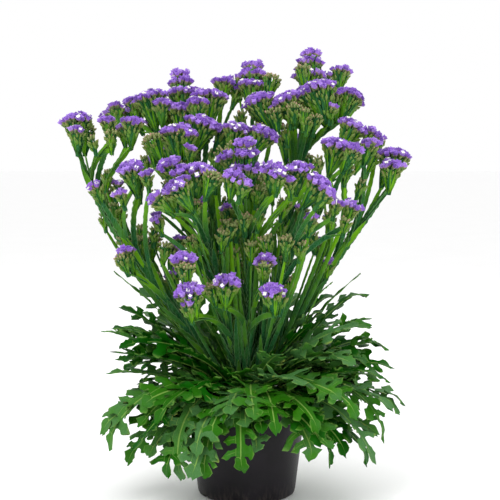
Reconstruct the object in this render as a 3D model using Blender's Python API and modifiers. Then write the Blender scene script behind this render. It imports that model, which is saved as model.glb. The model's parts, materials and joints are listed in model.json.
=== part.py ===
"""Statice in flower, growing in a black nursery pot.

A rosette of lobed leaves grows from a low crown that is set in peat, and winged, forking stems
rise from the crown. Each branch ends in a fan of flattened stalks under a crest of funnel
florets. The origin is the centre of the pot's base, +Z is up and -Y is the front.
Sizes in the tables are in millimetres. Everything built is in metres.
"""

import math
from typing import NamedTuple

import bmesh
import bpy
from mathutils import Matrix, Vector

MM = 0.001
GAP = 0.4
WELD = 0.000001
SHARP_ANGLE = 35.0

POT_HEIGHT = 145.0
POT_RIM_RADIUS = 95.0
POT_RIM_LOWER_RADIUS = 92.0
POT_RIM_DEPTH = 22.0
POT_BODY_TOP_RADIUS = 88.2
POT_BASE_RADIUS = 73.5
POT_CHAMFER = 4.5
POT_WALL = 1.8
POT_FLOOR = 2.4
POT_STEP_SLOPE = 1.0
TURNED_SIDES = 28
NOTCH_COUNT = 5
NOTCH_FIRST_ANGLE = 212.0
NOTCH_WIDTH = 15.0
NOTCH_HEIGHT = 5.0
NOTCH_INNER_RADIUS = 62.0
NOTCH_OVERRUN = 4.0

SOIL_EDGE_HEIGHT = 121.5
SOIL_MOUND_HEIGHT = 131.0
SOIL_FOOT_INSET = 7.0
SOIL_FOOT_HEIGHT = 7.5
CROWN_RADIUS = 21.0
CROWN_BOTTOM = 116.0
CROWN_TOP = 150.0
CROWN_TAPER = 2.0
CROWN_SIDES = 14

SOCKET_RADIUS = 3.95
SOCKET_DEPTH = 7.0
SOCKET_SIDES = 8
SOCKET_BELOW_FOOT = 0.6
FOOT_RADIUS_SHARE = 0.61
FOOT_STRAIGHT = 13.0
FOOT_LEAN_PER_REACH = 0.0016

STEM_WING = 5.4
LEADER_SECTION = (1.0, 0.36, 1.0, 0.36, 1.0, 0.36)
BRANCH_SECTION = (1.0, 0.46, 1.0, 0.46)
BRANCH_SHARE = 0.74
TWIG_SHARE = 0.48
WING_WAVE = 0.12
LEADER_STEPS = 6
BRANCH_STEPS = 3
BRANCH_ROOT_SHARE = 0.6
BRANCH_KNEE_SHARE = 0.42
FORK_REACH = 1.8
FORK_LOWEST = 0.26
FORK_HIGHEST = 0.82
FORK_CLEARANCE = 62.0
FORK_SEARCH_STEP = 0.02

BLADE_LENGTH = 42.0
BLADE_HALF_WIDTH = 3.4
BLADE_FLATNESS = 0.45
BLADE_SLANT = 0.58

FAN_SHARE = 0.62
FAN_EXTRA = 6.0

FLORET_DEPTH = 10.0
FLORET_DISH = 3.4
FLORET_SHRINK = 0.84
FLORET_LIFT = 1.6
CREST_BASE_SHARE = 0.66
CREST_TOP_SHARE = 0.30
CREST_LEAST_RISE = 4.5
TWO_RING_SHARES = (0.46, 0.19)
TWO_RING_LOWER_RISE = 0.6
TWO_RING_FLORETS = 6
TWO_RING_WIDTH = 55.0
TWO_RING_RISE = 18.0
FEWEST_FLORETS = 4
MOST_FLORETS = 8
FEWEST_FLORETS_WIDTH = 22.0
WIDTH_PER_FLORET = 9.0
HEAD_DEPTH_SHARE = 0.76
HEAD_RISE_SHARE = 0.13
TILT_PER_DEPTH = 0.0034

LEAF_THICKNESS = 0.9
LEAF_FOLD = 0.30
LEAF_BASE_RADIUS = 16.0
LEAF_BASE_HEIGHT = 131.0
LEAF_HEIGHT_PER_DEGREE = 0.25
LEAF_BASE_HALF_WIDTH = 1.8
LEAF_CURVE_SLICES = 12
PETIOLE_SHARE = 0.24
PETIOLE_HALF_WIDTH = 3.2
STATIONS_PER_LOBE = 3
SINUS_SHARE = 0.34
TIP_SHARE = 0.35
BLADE_BASE_SHARE = 0.55
BLADE_BULGE_TURN = 0.85
NARROW_LEAF_STEPS = 5
NARROW_LEAF_LEAST = 0.6
NARROW_LEAF_BULGE = (0.14, 0.94)


class Head(NamedTuple):
    """A flower head: the place of its top centre, its width, its lean to +X in degrees, its middle's rise."""

    x: float
    y: float
    z: float
    width: float
    lean: float = 0.0
    rise: float = 0.0


class Shoot(NamedTuple):
    """A flowering stem. The leader runs to the first head, and the rest fork from it.

    The knee is where its curve is drawn to, as shares of the leader's reach and rise.
    """

    foot_angle: float
    foot_radius: float
    knee: tuple[float, float]
    heads: tuple[Head, ...]
    sprigs: tuple[Head, ...] = ()
    buds: tuple[Head, ...] = ()


class FanKind(NamedTuple):
    """How a branch's stalks end.

    They end so far above the fan's height, so far apart and so broad, as shares of half the head's
    width, with their ends dished so deep. A negative dish is a dome.
    """

    above_fan: float
    spread: float
    breadth: float
    dish: float = 0.0


class Leaf(NamedTuple):
    """A rosette leaf: its direction, slopes in degrees at base and tip, length, half width and lobes."""

    azimuth: float
    rise: float
    fall: float
    length: float
    half_width: float
    lobes: int = 4


UNDER_CREST = FanKind(-GAP, CREST_BASE_SHARE * 0.74, 0.30)
SPRIG = FanKind(9.0, 0.62, 0.55, 2.0)
BUD = FanKind(7.0, 0.42, 0.55, -2.0)

SHOOTS = {
    "left_front": Shoot(
        203, 14.5, (0.52, 0.46),
        heads=(
            Head(-222, -62, 472, 26, -24),
            Head(-168, -92, 502, 42, -14, 9),
            Head(-178, -76, 380, 34, -20),
        ),
        sprigs=(Head(-182, -92, 462, 16, -18), Head(-140, -116, 490, 20, -6)),
    ),
    "left": Shoot(
        172, 14.5, (0.90, 0.68),
        heads=(
            Head(-254, 4, 574, 52, -4),
            Head(-205, -14, 570, 32, -6),
            Head(-166, -30, 568, 38, 4),
            Head(-203, 58, 592, 34, -12),
        ),
        buds=(Head(-228, -30, 540, 15, -14),),
    ),
    "back_left": Shoot(
        136, 14.5, (0.50, 0.46),
        heads=(
            Head(-103, 82, 634, 50, -4, 22),
            Head(-151, 60, 610, 58, -12),
            Head(-95, 36, 590, 52, 4),
            Head(-126, 188, 532, 50, -14),
            Head(-92, 170, 452, 40, -10),
        ),
    ),
    "centre_left": Shoot(
        228, 4.0, (0.46, 0.48),
        heads=(
            Head(-60, -18, 568, 58, 18),
            Head(-106, -36, 556, 54, -8, 8),
            Head(-12, -38, 558, 44, 14),
            Head(-55, 28, 611, 60, 4),
            Head(-34, 72, 632, 40, 6),
        ),
        sprigs=(Head(-80, -62, 527, 17, 0),),
        buds=(Head(-30, -66, 520, 16, 4),),
    ),
    "front_left": Shoot(
        243, 14.5, (0.40, 0.52),
        heads=(
            Head(-60, -130, 498, 50, 12),
            Head(-100, -152, 476, 46, -30),
            Head(-113, -108, 506, 44, -24),
            Head(-88, -142, 376, 42, -4),
            Head(-80, -166, 334, 46, -12),
        ),
        sprigs=(Head(-132, -62, 423, 17, -20), Head(-60, -98, 432, 15, 0)),
    ),
    "front": Shoot(
        276, 14.5, (0.40, 0.50),
        heads=(
            Head(0, -112, 524, 50, 0, 26),
            Head(-18, -156, 490, 36, 6),
            Head(38, -154, 500, 42, 4),
            Head(72, -136, 500, 38, 4),
            Head(33, -60, 549, 42, 32),
            Head(-26, -142, 345, 44, 4),
            Head(32, -146, 332, 40, -8),
            Head(28, -112, 374, 32, 6, 14),
        ),
        sprigs=(Head(-16, -70, 445, 17, 0),),
        buds=(Head(100, -98, 505, 16, 8),),
    ),
    "back": Shoot(
        84, 14.5, (0.46, 0.50),
        heads=(
            Head(10, 72, 646, 52, 0, 22),
            Head(14, 20, 603, 54, -22),
            Head(-30, 212, 542, 52, -4),
            Head(72, 202, 548, 50, 8),
            Head(26, 184, 455, 42, 4),
        ),
        sprigs=(Head(54, 48, 600, 24, 6),),
    ),
    "right_back": Shoot(
        38, 14.5, (0.46, 0.48),
        heads=(
            Head(100, 80, 665, 52, 2, 26),
            Head(97, 22, 621, 72, -20),
            Head(149, 102, 652, 40, 8),
            Head(163, 56, 613, 48, 10),
            Head(168, 164, 538, 48, 14),
            Head(128, 152, 466, 40, 12),
        ),
        sprigs=(Head(128, 12, 590, 20, 6),),
        buds=(Head(66, 0, 582, 18, 0), Head(92, -12, 570, 16, 8)),
    ),
    "right": Shoot(
        348, 14.5, (0.42, 0.52),
        heads=(
            Head(222, 0, 522, 56, 8),
            Head(164, -4, 562, 48, 28),
            Head(184, -42, 535, 32, 18),
            Head(134, -72, 534, 50, 16),
        ),
        buds=(Head(106, -46, 512, 17, 0),),
    ),
    "right_front": Shoot(
        312, 14.5, (0.45, 0.50),
        heads=(
            Head(108, -142, 478, 46, 36),
            Head(152, -110, 447, 30, 20),
        ),
        sprigs=(Head(128, -122, 450, 18, 14),),
    ),
}

LEAVES = (
    Leaf(198, 30, -46, 230, 27),
    Leaf(209, 46, -78, 256, 26),
    Leaf(219, 28, -52, 217, 24, 3),
    Leaf(234, 46, -108, 237, 27),
    Leaf(250, 36, -92, 206, 28),
    Leaf(264, 48, -104, 210, 24, 3),
    Leaf(301, 36, -80, 186, 30, 3),
    Leaf(318, 46, -104, 217, 26),
    Leaf(331, 30, -66, 235, 27),
    Leaf(343, 48, -72, 247, 26, 3),
    Leaf(354, 28, -26, 232, 30),
    Leaf(7, 44, 0, 224, 29, 3),
    Leaf(3, 60, 8, 217, 22, 3),
    Leaf(22, 52, 30, 242, 22, 3),
    Leaf(42, 46, -50, 232, 26, 3),
    Leaf(61, 30, -46, 223, 26, 3),
    Leaf(78, 50, -24, 220, 26, 3),
    Leaf(95, 32, -50, 232, 27, 3),
    Leaf(112, 48, -32, 220, 25, 3),
    Leaf(128, 30, -46, 226, 27, 3),
    Leaf(146, 46, -22, 222, 26, 3),
    Leaf(159, 57, 16, 215, 23, 3),
    Leaf(181, 42, 16, 232, 27, 3),
    Leaf(188, 30, 0, 200, 22, 3),
    Leaf(217, 60, 10, 150, 22, 2),
    Leaf(291, 60, 16, 140, 18, 2),
    Leaf(260, 56, 4, 114, 20, 2),
    Leaf(330, 54, 8, 162, 24, 3),
    Leaf(190, 54, 40, 268, 5.0, 0),
    Leaf(12, 58, 42, 244, 6.0, 0),
)


def clear_scene() -> None:
    """Removes every object of the startup scene."""
    for obj in list(bpy.data.objects):
        bpy.data.objects.remove(obj)


def new_collection(name: str) -> bpy.types.Collection:
    """A collection linked to the scene."""
    collection = bpy.data.collections.new(name)
    bpy.context.scene.collection.children.link(collection)
    return collection


def make_material(
    name: str, colour: tuple[float, float, float], roughness: float
) -> bpy.types.Material:
    """A plain dielectric material."""
    material = bpy.data.materials.new(name)
    material.use_nodes = True
    shader = material.node_tree.nodes["Principled BSDF"]
    shader.inputs["Base Color"].default_value = (*colour, 1.0)
    shader.inputs["Roughness"].default_value = roughness
    shader.inputs["Metallic"].default_value = 0.0
    return material


def add_object(name: str, data: bpy.types.ID, collection: bpy.types.Collection) -> bpy.types.Object:
    """A new object of this mesh or curve in the collection."""
    obj = bpy.data.objects.new(name, data)
    collection.objects.link(obj)
    return obj


def hide_guide(obj: bpy.types.Object) -> None:
    """Marks a cutter or a section as no part of the plant."""
    obj.hide_render = True
    obj.display_type = "WIRE"


def paint(obj: bpy.types.Object, material: bpy.types.Material) -> None:
    """Gives the object this one material."""
    obj.data.materials.clear()
    obj.data.materials.append(material)


def smooth(obj: bpy.types.Object) -> None:
    """Shades a turned piece smooth, with its edges kept sharp."""
    obj.data.shade_smooth()
    obj.data.set_sharp_from_angle(angle=math.radians(SHARP_ANGLE))


def mesh_from(name: str, bm: bmesh.types.BMesh) -> bpy.types.Mesh:
    """The bmesh as a mesh with its normals facing out."""
    bmesh.ops.recalc_face_normals(bm, faces=bm.faces)
    mesh = bpy.data.meshes.new(name)
    bm.to_mesh(mesh)
    bm.free()
    return mesh


def settle(obj: bpy.types.Object) -> bpy.types.Mesh:
    """The object's evaluated shape as a plain mesh, with the loose caps of a curve welded on."""
    graph = bpy.context.evaluated_depsgraph_get()
    mesh = bpy.data.meshes.new_from_object(obj.evaluated_get(graph))
    mesh.transform(obj.matrix_world)
    bm = bmesh.new()
    bm.from_mesh(mesh)
    bmesh.ops.remove_doubles(bm, verts=bm.verts, dist=WELD)
    bm.to_mesh(mesh)
    bm.free()
    return mesh


def add_boolean(obj: bpy.types.Object, tools: bpy.types.Collection, operation: str) -> None:
    """A Boolean of the object with every object of the tools collection."""
    modifier = obj.modifiers.new(operation.title(), "BOOLEAN")
    modifier.operation = operation
    modifier.operand_type = "COLLECTION"
    modifier.collection = tools


def fuse(
    name: str,
    body: bpy.types.Object,
    repeats: bpy.types.Collection,
    material: bpy.types.Material,
    target: bpy.types.Collection,
    cutters: bpy.types.Collection | None = None,
) -> bpy.types.Object:
    """Joins the body and its repeats in one solid, cuts it, and removes what it was made from."""
    add_boolean(body, repeats, "UNION")
    if cutters is not None:
        add_boolean(body, cutters, "DIFFERENCE")
    solid = add_object(name, settle(body), target)
    paint(solid, material)
    for obj in [body, *repeats.objects]:
        bpy.data.objects.remove(obj)
    bpy.data.collections.remove(repeats)
    return solid


def frame_along(direction: Vector, origin: Vector) -> Matrix:
    """The placement whose +Z is the direction and whose +X stays as near world +X as it can."""
    up = direction.normalized()
    side = Vector((1, 0, 0)) - up * up.x
    side.normalize()
    frame = Matrix((side, up.cross(side), up)).transposed().to_4x4()
    frame.translation = origin
    return frame


def quadratic(start: Vector, knee: Vector, end: Vector, share: float) -> Vector:
    """The point at this share of a quadratic curve."""
    rest = 1 - share
    return start * rest * rest + knee * 2 * rest * share + end * share * share


def cone_between(
    name: str,
    start: Vector,
    end: Vector,
    radii: tuple[float, float],
    sides: int,
    collection: bpy.types.Collection,
) -> bpy.types.Object:
    """A closed cone from start to end, in metres."""
    bm = bmesh.new()
    length = (end - start).length
    bmesh.ops.create_cone(
        bm, cap_ends=True, segments=sides, radius1=radii[0], radius2=radii[1], depth=length
    )
    bmesh.ops.transform(bm, matrix=frame_along(end - start, (start + end) / 2), verts=bm.verts)
    return add_object(name, mesh_from(name, bm), collection)


def head_axis(head: Head) -> Vector:
    """The way that a head faces: it leans as stated, and towards the side of the plant it stands on."""
    return Vector((math.tan(math.radians(head.lean)), head.y * TILT_PER_DEPTH, 1)).normalized()


def head_rise(head: Head) -> float:
    """How far the middle of a head stands above its edge, in millimetres."""
    return head.rise or head.width * HEAD_RISE_SHARE


def fan_height(head: Head) -> float:
    """The length of the fan of stalks under a head, in millimetres."""
    return head.width * FAN_SHARE + FAN_EXTRA


def head_root(head: Head) -> Vector:
    """Where a head's branch ends and its fan begins, in metres."""
    drop = fan_height(head) + FLORET_DEPTH + head_rise(head)
    return (Vector((head.x, head.y, head.z)) - head_axis(head) * drop) * MM


def head_placing(head: Head) -> Matrix:
    """The head's own frame: its root is the origin, it faces +Z and it is shallower than it is wide."""
    return frame_along(head_axis(head), head_root(head)) @ flattening()


def flattening() -> Matrix:
    """What makes a round head as shallow as it should be."""
    return Matrix.Diagonal((1, HEAD_DEPTH_SHARE, 1, 1))


def has_two_rings(head: Head) -> bool:
    """Whether a crest is so wide or so domed that it needs a second ring of florets."""
    return head.width >= TWO_RING_WIDTH or head.rise >= TWO_RING_RISE


def ring_florets(head: Head) -> int:
    """How many florets stand in each ring of a crest."""
    if has_two_rings(head):
        return TWO_RING_FLORETS
    count = FEWEST_FLORETS + round((head.width - FEWEST_FLORETS_WIDTH) / WIDTH_PER_FLORET)
    return min(count, MOST_FLORETS)


def crest_levels(head: Head) -> list[tuple[float, float]]:
    """The radius and height, in metres, of each level of the crest's base, from its foot up."""
    half = head.width * MM / 2
    height = max(head_rise(head), CREST_LEAST_RISE) * CREST_BASE_SHARE * MM
    foot = (half * CREST_BASE_SHARE, 0.0)
    if has_two_rings(head):
        lower, upper = TWO_RING_SHARES
        return [foot, (half * lower, height * TWO_RING_LOWER_RISE), (half * upper, height)]
    return [foot, (half * CREST_TOP_SHARE, height)]


def crest_base(head: Head) -> bmesh.types.BMesh:
    """The low stepped cone whose every face but the foot grows a floret."""
    levels = crest_levels(head)
    (foot_radius, _), (radius, height) = levels[:2]
    bm = bmesh.new()
    bmesh.ops.create_cone(
        bm, cap_ends=True, segments=ring_florets(head), radius1=foot_radius, radius2=radius, depth=height
    )
    bmesh.ops.translate(bm, vec=(0, 0, height / 2), verts=bm.verts)
    for upper_radius, upper_height in levels[2:]:
        top = max(bm.faces, key=lambda face: face.calc_center_median().z)
        raised = bmesh.ops.extrude_discrete_faces(bm, faces=[top])["faces"][0]
        for vert in raised.verts:
            vert.co *= upper_radius / radius
            vert.co.z = upper_height
    return bm


def make_crest(
    name: str, head: Head, material: bpy.types.Material, target: bpy.types.Collection
) -> bpy.types.Object:
    """A crest of dished florets that spread from one low base, just above the fan of stalks."""
    bm = crest_base(head)
    foot = min(bm.faces, key=lambda face: face.calc_center_median().z)
    roots = [face for face in bm.faces if face is not foot]
    mouths = bmesh.ops.extrude_discrete_faces(bm, faces=roots)["faces"]
    focus = Vector((0, 0, -FLORET_DEPTH * MM * CREST_BASE_SHARE / (1 - CREST_BASE_SHARE)))
    for index, mouth in enumerate(mouths):
        centre = mouth.calc_center_median()
        lift = Vector((0, 0, (index % 2) * FLORET_LIFT * MM))
        goal = focus + (centre - focus) / CREST_BASE_SHARE + lift
        for vert in mouth.verts:
            vert.co = goal + (vert.co - centre) / CREST_BASE_SHARE * FLORET_SHRINK
    bmesh.ops.recalc_face_normals(bm, faces=bm.faces)
    bmesh.ops.poke(bm, faces=mouths, offset=-FLORET_DISH * MM)
    bmesh.ops.transform(bm, matrix=flattening(), verts=bm.verts)
    crest = add_object(name, mesh_from(name, bm), target)
    axis = head_axis(head)
    crest.matrix_world = frame_along(axis, head_root(head) + axis * fan_height(head) * MM)
    paint(crest, material)
    return crest


def stem_section(name: str, radii: tuple[float, ...]) -> bpy.types.Object:
    """A stem's section of unit size: a closed outline through points at these radii, evenly turned."""
    data = bpy.data.curves.new(name, "CURVE")
    spline = data.splines.new("POLY")
    spline.points.add(len(radii) - 1)
    for index, (point, radius) in enumerate(zip(spline.points, radii)):
        angle = 2 * math.pi * index / len(radii)
        point.co = (radius * math.cos(angle) * MM, radius * math.sin(angle) * MM, 0, 1)
    spline.use_cyclic_u = True
    section = bpy.data.objects.new(name, data)
    hide_guide(section)
    return section


def winged_tube(points: list[Vector], radii: list[float], section: bpy.types.Object) -> bmesh.types.BMesh:
    """A winged stem along the points, as a closed bmesh. The radii are wing reaches in millimetres."""
    data = bpy.data.curves.new("tube", "CURVE")
    data.dimensions = "3D"
    data.bevel_mode = "OBJECT"
    data.bevel_object = section
    data.use_fill_caps = True
    spline = data.splines.new("POLY")
    spline.points.add(len(points) - 1)
    for point, place, radius in zip(spline.points, points, radii):
        point.co = (*place, 1)
        point.radius = radius
    curve = add_object("tube", data, bpy.context.scene.collection)
    bpy.context.view_layer.update()
    bm = bmesh.new()
    bm.from_mesh(settle(curve))
    bpy.data.objects.remove(curve)
    return bm


def spread_fan(bm: bmesh.types.BMesh, points: int, head: Head, kind: FanKind) -> None:
    """Draws the end of a winged tube, whose section has this many points, out into as many stalks."""
    placing = head_placing(head)
    inward = placing.inverted()
    root = head_root(head)
    ring = set(sorted(bm.verts, key=lambda vert: (vert.co - root).length)[:points])
    end_faces = [face for face in bm.faces if ring.issuperset(face.verts)]
    cap = bmesh.ops.dissolve_faces(bm, faces=end_faces)["region"]
    wedges = bmesh.ops.poke(bm, faces=cap)["faces"]
    ends = bmesh.ops.extrude_discrete_faces(bm, faces=wedges)["faces"]
    half = head.width * MM / 2
    level = (fan_height(head) + kind.above_fan) * MM
    turns = {end: stalk_turn(inward @ end.calc_center_median()) for end in ends}
    ends.sort(key=lambda end: turns[end])
    step = 2 * math.pi / points
    first = round(turns[ends[0]] / step) * step
    for index, end in enumerate(ends):
        angle = first + step * index
        spread = half * kind.spread
        goal = Vector((spread * math.cos(angle), spread * math.sin(angle), level))
        centre = inward @ end.calc_center_median()
        offsets = [((inward @ vert.co) - centre) * Vector((1, 1, 0)) for vert in end.verts]
        reach = max(offset.length for offset in offsets)
        for vert, offset in zip(end.verts, offsets):
            vert.co = placing @ (goal + offset * (half * kind.breadth / reach))
    bmesh.ops.recalc_face_normals(bm, faces=bm.faces)
    if kind.dish:
        bmesh.ops.poke(bm, faces=ends, offset=-kind.dish * MM)


def stalk_turn(place: Vector) -> float:
    """The angle at which a place lies round its head's axis."""
    return math.atan2(place.y, place.x)


def foot_place(shoot: Shoot) -> Vector:
    """Where a shoot's foot stands in the crown, in metres."""
    angle = math.radians(shoot.foot_angle)
    return Vector(
        (
            shoot.foot_radius * math.cos(angle) * MM,
            shoot.foot_radius * math.sin(angle) * MM,
            (CROWN_TOP - SOCKET_DEPTH) * MM,
        )
    )


def foot_direction(shoot: Shoot) -> Vector:
    """The way that a shoot leaves the crown."""
    lean = Vector((shoot.heads[0].x, shoot.heads[0].y, 0)) * FOOT_LEAN_PER_REACH
    return (Vector((0, 0, 1)) + lean).normalized()


def leader_point(shoot: Shoot, share: float) -> Vector:
    """A point on a shoot's leader, from the top of its straight foot to its first head."""
    start = foot_place(shoot) + foot_direction(shoot) * FOOT_STRAIGHT * MM
    end = head_root(shoot.heads[0])
    reach, rise = shoot.knee
    knee = start + (end - start) * Vector((reach, reach, rise))
    return quadratic(start, knee, end, share)


def fork_share(shoot: Shoot, head: Head) -> float:
    """How far up the leader a head's branch forks: high for a near head, and always well below the head."""
    root = head_root(head)
    run = (leader_point(shoot, 1) - leader_point(shoot, 0)).length
    share = 1 - FORK_REACH * (root - leader_point(shoot, 1)).length / run
    share = min(max(share, FORK_LOWEST), FORK_HIGHEST)
    highest = root.z - FORK_CLEARANCE * MM
    while share > 2 * FORK_SEARCH_STEP and leader_point(shoot, share).z > highest:
        share -= FORK_SEARCH_STEP
    return share


def branch_point(shoot: Shoot, head: Head, share: float) -> Vector:
    """A point on the branch that carries a head, from its fork in the leader's core outwards."""
    fork = fork_share(shoot, head)
    start = leader_point(shoot, fork)
    end = head_root(head)
    heading = (leader_point(shoot, fork + FORK_SEARCH_STEP) - start).normalized()
    knee = start + heading * (end - start).length * BRANCH_KNEE_SHARE
    return quadratic(start, knee, end, share)


def wavy(radius: float, index: int) -> float:
    """The wing's reach at this step, with the wave of its edge."""
    return radius * (1 + WING_WAVE * (-1) ** index)


def leader_mesh(shoot: Shoot, section: bpy.types.Object) -> bpy.types.Mesh:
    """The shoot's main stem, from its foot in the crown to the fan of its first head."""
    foot = STEM_WING * FOOT_RADIUS_SHARE
    points = [foot_place(shoot)]
    radii = [foot]
    for step in range(LEADER_STEPS + 1):
        share = step / LEADER_STEPS
        points.append(leader_point(shoot, share))
        taper = STEM_WING * (1 + (BRANCH_SHARE - 1) * share)
        radii.append(foot if step == 0 else wavy(taper, step))
    bm = winged_tube(points, radii, section)
    spread_fan(bm, len(LEADER_SECTION), shoot.heads[0], UNDER_CREST)
    return mesh_from("leader", bm)


def branch_mesh(
    shoot: Shoot, head: Head, kind: FanKind, section: bpy.types.Object
) -> bpy.types.Mesh:
    """The side branch that carries one head, with its fan, sprig or bud."""
    is_full = kind is UNDER_CREST
    steps = BRANCH_STEPS if is_full else BRANCH_STEPS - 1
    reach = STEM_WING * (BRANCH_SHARE if is_full else TWIG_SHARE)
    points = [branch_point(shoot, head, step / steps) for step in range(steps + 1)]
    radii = [wavy(reach, step) for step in range(steps + 1)]
    radii[0] = reach * BRANCH_ROOT_SHARE
    bm = winged_tube(points, radii, section)
    spread_fan(bm, len(BRANCH_SECTION), head, kind)
    return mesh_from("branch", bm)


def add_blade(shoot: Shoot, head: Head, collection: bpy.types.Collection) -> None:
    """The pointed blade that a statice stem bears at a fork, on the branch's outer side."""
    fork = fork_share(shoot, head)
    start = leader_point(shoot, fork)
    along = branch_point(shoot, head, 0.5) - start
    heading = (leader_point(shoot, fork + FORK_SEARCH_STEP) - start).normalized()
    outward = (along - heading * along.dot(heading)).normalized()
    bm = bmesh.new()
    bmesh.ops.create_cone(
        bm, cap_ends=True, segments=3, radius1=BLADE_HALF_WIDTH * MM, radius2=0, depth=BLADE_LENGTH * MM
    )
    bmesh.ops.remove_doubles(bm, verts=bm.verts, dist=WELD)
    bmesh.ops.transform(bm, matrix=Matrix.Diagonal((1, BLADE_FLATNESS, 1, 1)), verts=bm.verts)
    direction = (heading + outward * BLADE_SLANT).normalized()
    placing = frame_along(direction, start + direction * BLADE_LENGTH * MM / 2)
    bmesh.ops.transform(bm, matrix=placing, verts=bm.verts)
    add_object("blade", mesh_from("blade", bm), collection)


def make_stem(
    name: str,
    shoot: Shoot,
    sections: tuple[bpy.types.Object, bpy.types.Object],
    material: bpy.types.Material,
    target: bpy.types.Collection,
) -> bpy.types.Object:
    """One flowering stem with its branches, blades, fans, sprigs and buds in one solid."""
    pieces = new_collection(name + "_pieces")
    leader = add_object("leader", leader_mesh(shoot, sections[0]), target)
    for kind, heads in ((UNDER_CREST, shoot.heads[1:]), (SPRIG, shoot.sprigs), (BUD, shoot.buds)):
        for head in heads:
            add_object("branch", branch_mesh(shoot, head, kind, sections[1]), pieces)
    for head in shoot.heads[1::2]:
        add_blade(shoot, head, pieces)
    return fuse(name, leader, pieces, material, target)


def leaf_stations(leaf: Leaf) -> list[tuple[float, float, float]]:
    """Shares along a leaf with its left and right half widths in millimetres.

    A winged petiole comes first, then lobes parted by narrow sinuses, which alternate from side to
    side. A leaf with no lobes is a plain narrow blade.
    """
    stations = []
    if leaf.lobes == 0:
        first, last = NARROW_LEAF_BULGE
        for step in range(NARROW_LEAF_STEPS + 1):
            share = step / NARROW_LEAF_STEPS
            bulge = math.sin(math.pi * (first + (last - first) * share))
            half = max(leaf.half_width * bulge, NARROW_LEAF_LEAST)
            stations.append((share, half, half))
        return stations
    stations.append((0.0, LEAF_BASE_HALF_WIDTH, LEAF_BASE_HALF_WIDTH))
    stations.append((PETIOLE_SHARE, PETIOLE_HALF_WIDTH, PETIOLE_HALF_WIDTH))
    steps = STATIONS_PER_LOBE * leaf.lobes
    for step in range(1, steps + 1):
        blade = step / steps
        bulge = math.sin(math.pi * BLADE_BULGE_TURN * blade)
        envelope = leaf.half_width * (BLADE_BASE_SHARE + (1 - BLADE_BASE_SHARE) * bulge)
        left = envelope * (SINUS_SHARE if step % STATIONS_PER_LOBE == 0 else 1.0)
        right = envelope * (SINUS_SHARE if step % STATIONS_PER_LOBE == 1 else 1.0)
        if step == steps:
            left = right = envelope * TIP_SHARE
        stations.append((PETIOLE_SHARE + (1 - PETIOLE_SHARE) * blade, left, right))
    return stations


def leaf_point(leaf: Leaf, share: float) -> tuple[Vector, float]:
    """The place of a leaf's midrib at this share of its length, in metres, and its slope in radians."""
    outward = leaf_direction(leaf)
    low, high = math.radians(leaf.rise), math.radians(leaf.fall)
    base_height = LEAF_BASE_HEIGHT + leaf.rise * LEAF_HEIGHT_PER_DEGREE
    place = (outward * LEAF_BASE_RADIUS + Vector((0, 0, base_height))) * MM
    stride = leaf.length * share / LEAF_CURVE_SLICES * MM
    for index in range(LEAF_CURVE_SLICES):
        slope = low + (high - low) * share * (index + 0.5) / LEAF_CURVE_SLICES
        place += (outward * math.cos(slope) + Vector((0, 0, math.sin(slope)))) * stride
    return place, low + (high - low) * share


def leaf_direction(leaf: Leaf) -> Vector:
    """The level direction in which a leaf points."""
    angle = math.radians(leaf.azimuth)
    return Vector((math.cos(angle), math.sin(angle), 0))


def add_leaf(leaf: Leaf, collection: bpy.types.Collection) -> bpy.types.Object:
    """A thin arched blade, folded a little along its midrib, with its lobes cut towards the rib."""
    stations = leaf_stations(leaf)
    steps = len(stations) - 1
    outward = leaf_direction(leaf)
    side = Vector((-outward.y, outward.x, 0))
    bm = bmesh.new()
    bmesh.ops.create_grid(bm, x_segments=2, y_segments=steps, size=1)
    for vert in bm.verts:
        across = round(vert.co.x)
        share, left, right = stations[round((vert.co.y + 1) / 2 * steps)]
        place, slope = leaf_point(leaf, share)
        normal = Vector((0, 0, math.cos(slope))) - outward * math.sin(slope)
        half = left if across > 0 else right
        vert.co = place + (side * across + normal * abs(across) * LEAF_FOLD) * half * MM
    bmesh.ops.triangulate(bm, faces=bm.faces)
    obj = add_object("leaf", mesh_from("leaf", bm), collection)
    thick = obj.modifiers.new("Blade", "SOLIDIFY")
    thick.thickness = LEAF_THICKNESS * MM
    thick.offset = 0
    return obj


def make_rosette(material: bpy.types.Material, target: bpy.types.Collection) -> bpy.types.Object:
    """The crown with every rosette leaf, and a plain hole in the crown for each stem's foot."""
    low, high = Vector((0, 0, CROWN_BOTTOM * MM)), Vector((0, 0, CROWN_TOP * MM))
    radii = ((CROWN_RADIUS - CROWN_TAPER) * MM, CROWN_RADIUS * MM)
    crown = cone_between("crown", low, high, radii, CROWN_SIDES, target)
    leaves = new_collection("leaf_pieces")
    for leaf in LEAVES:
        add_leaf(leaf, leaves)
    sockets = new_collection("sockets")
    for shoot in SHOOTS.values():
        direction = foot_direction(shoot)
        base = foot_place(shoot) - direction * SOCKET_BELOW_FOOT * MM
        mouth = base + direction * 1.5 * FOOT_STRAIGHT * MM
        hide_guide(cone_between("socket", base, mouth, (SOCKET_RADIUS * MM,) * 2, SOCKET_SIDES, sockets))
    return fuse("rosette", crown, leaves, material, target, cutters=sockets)


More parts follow.
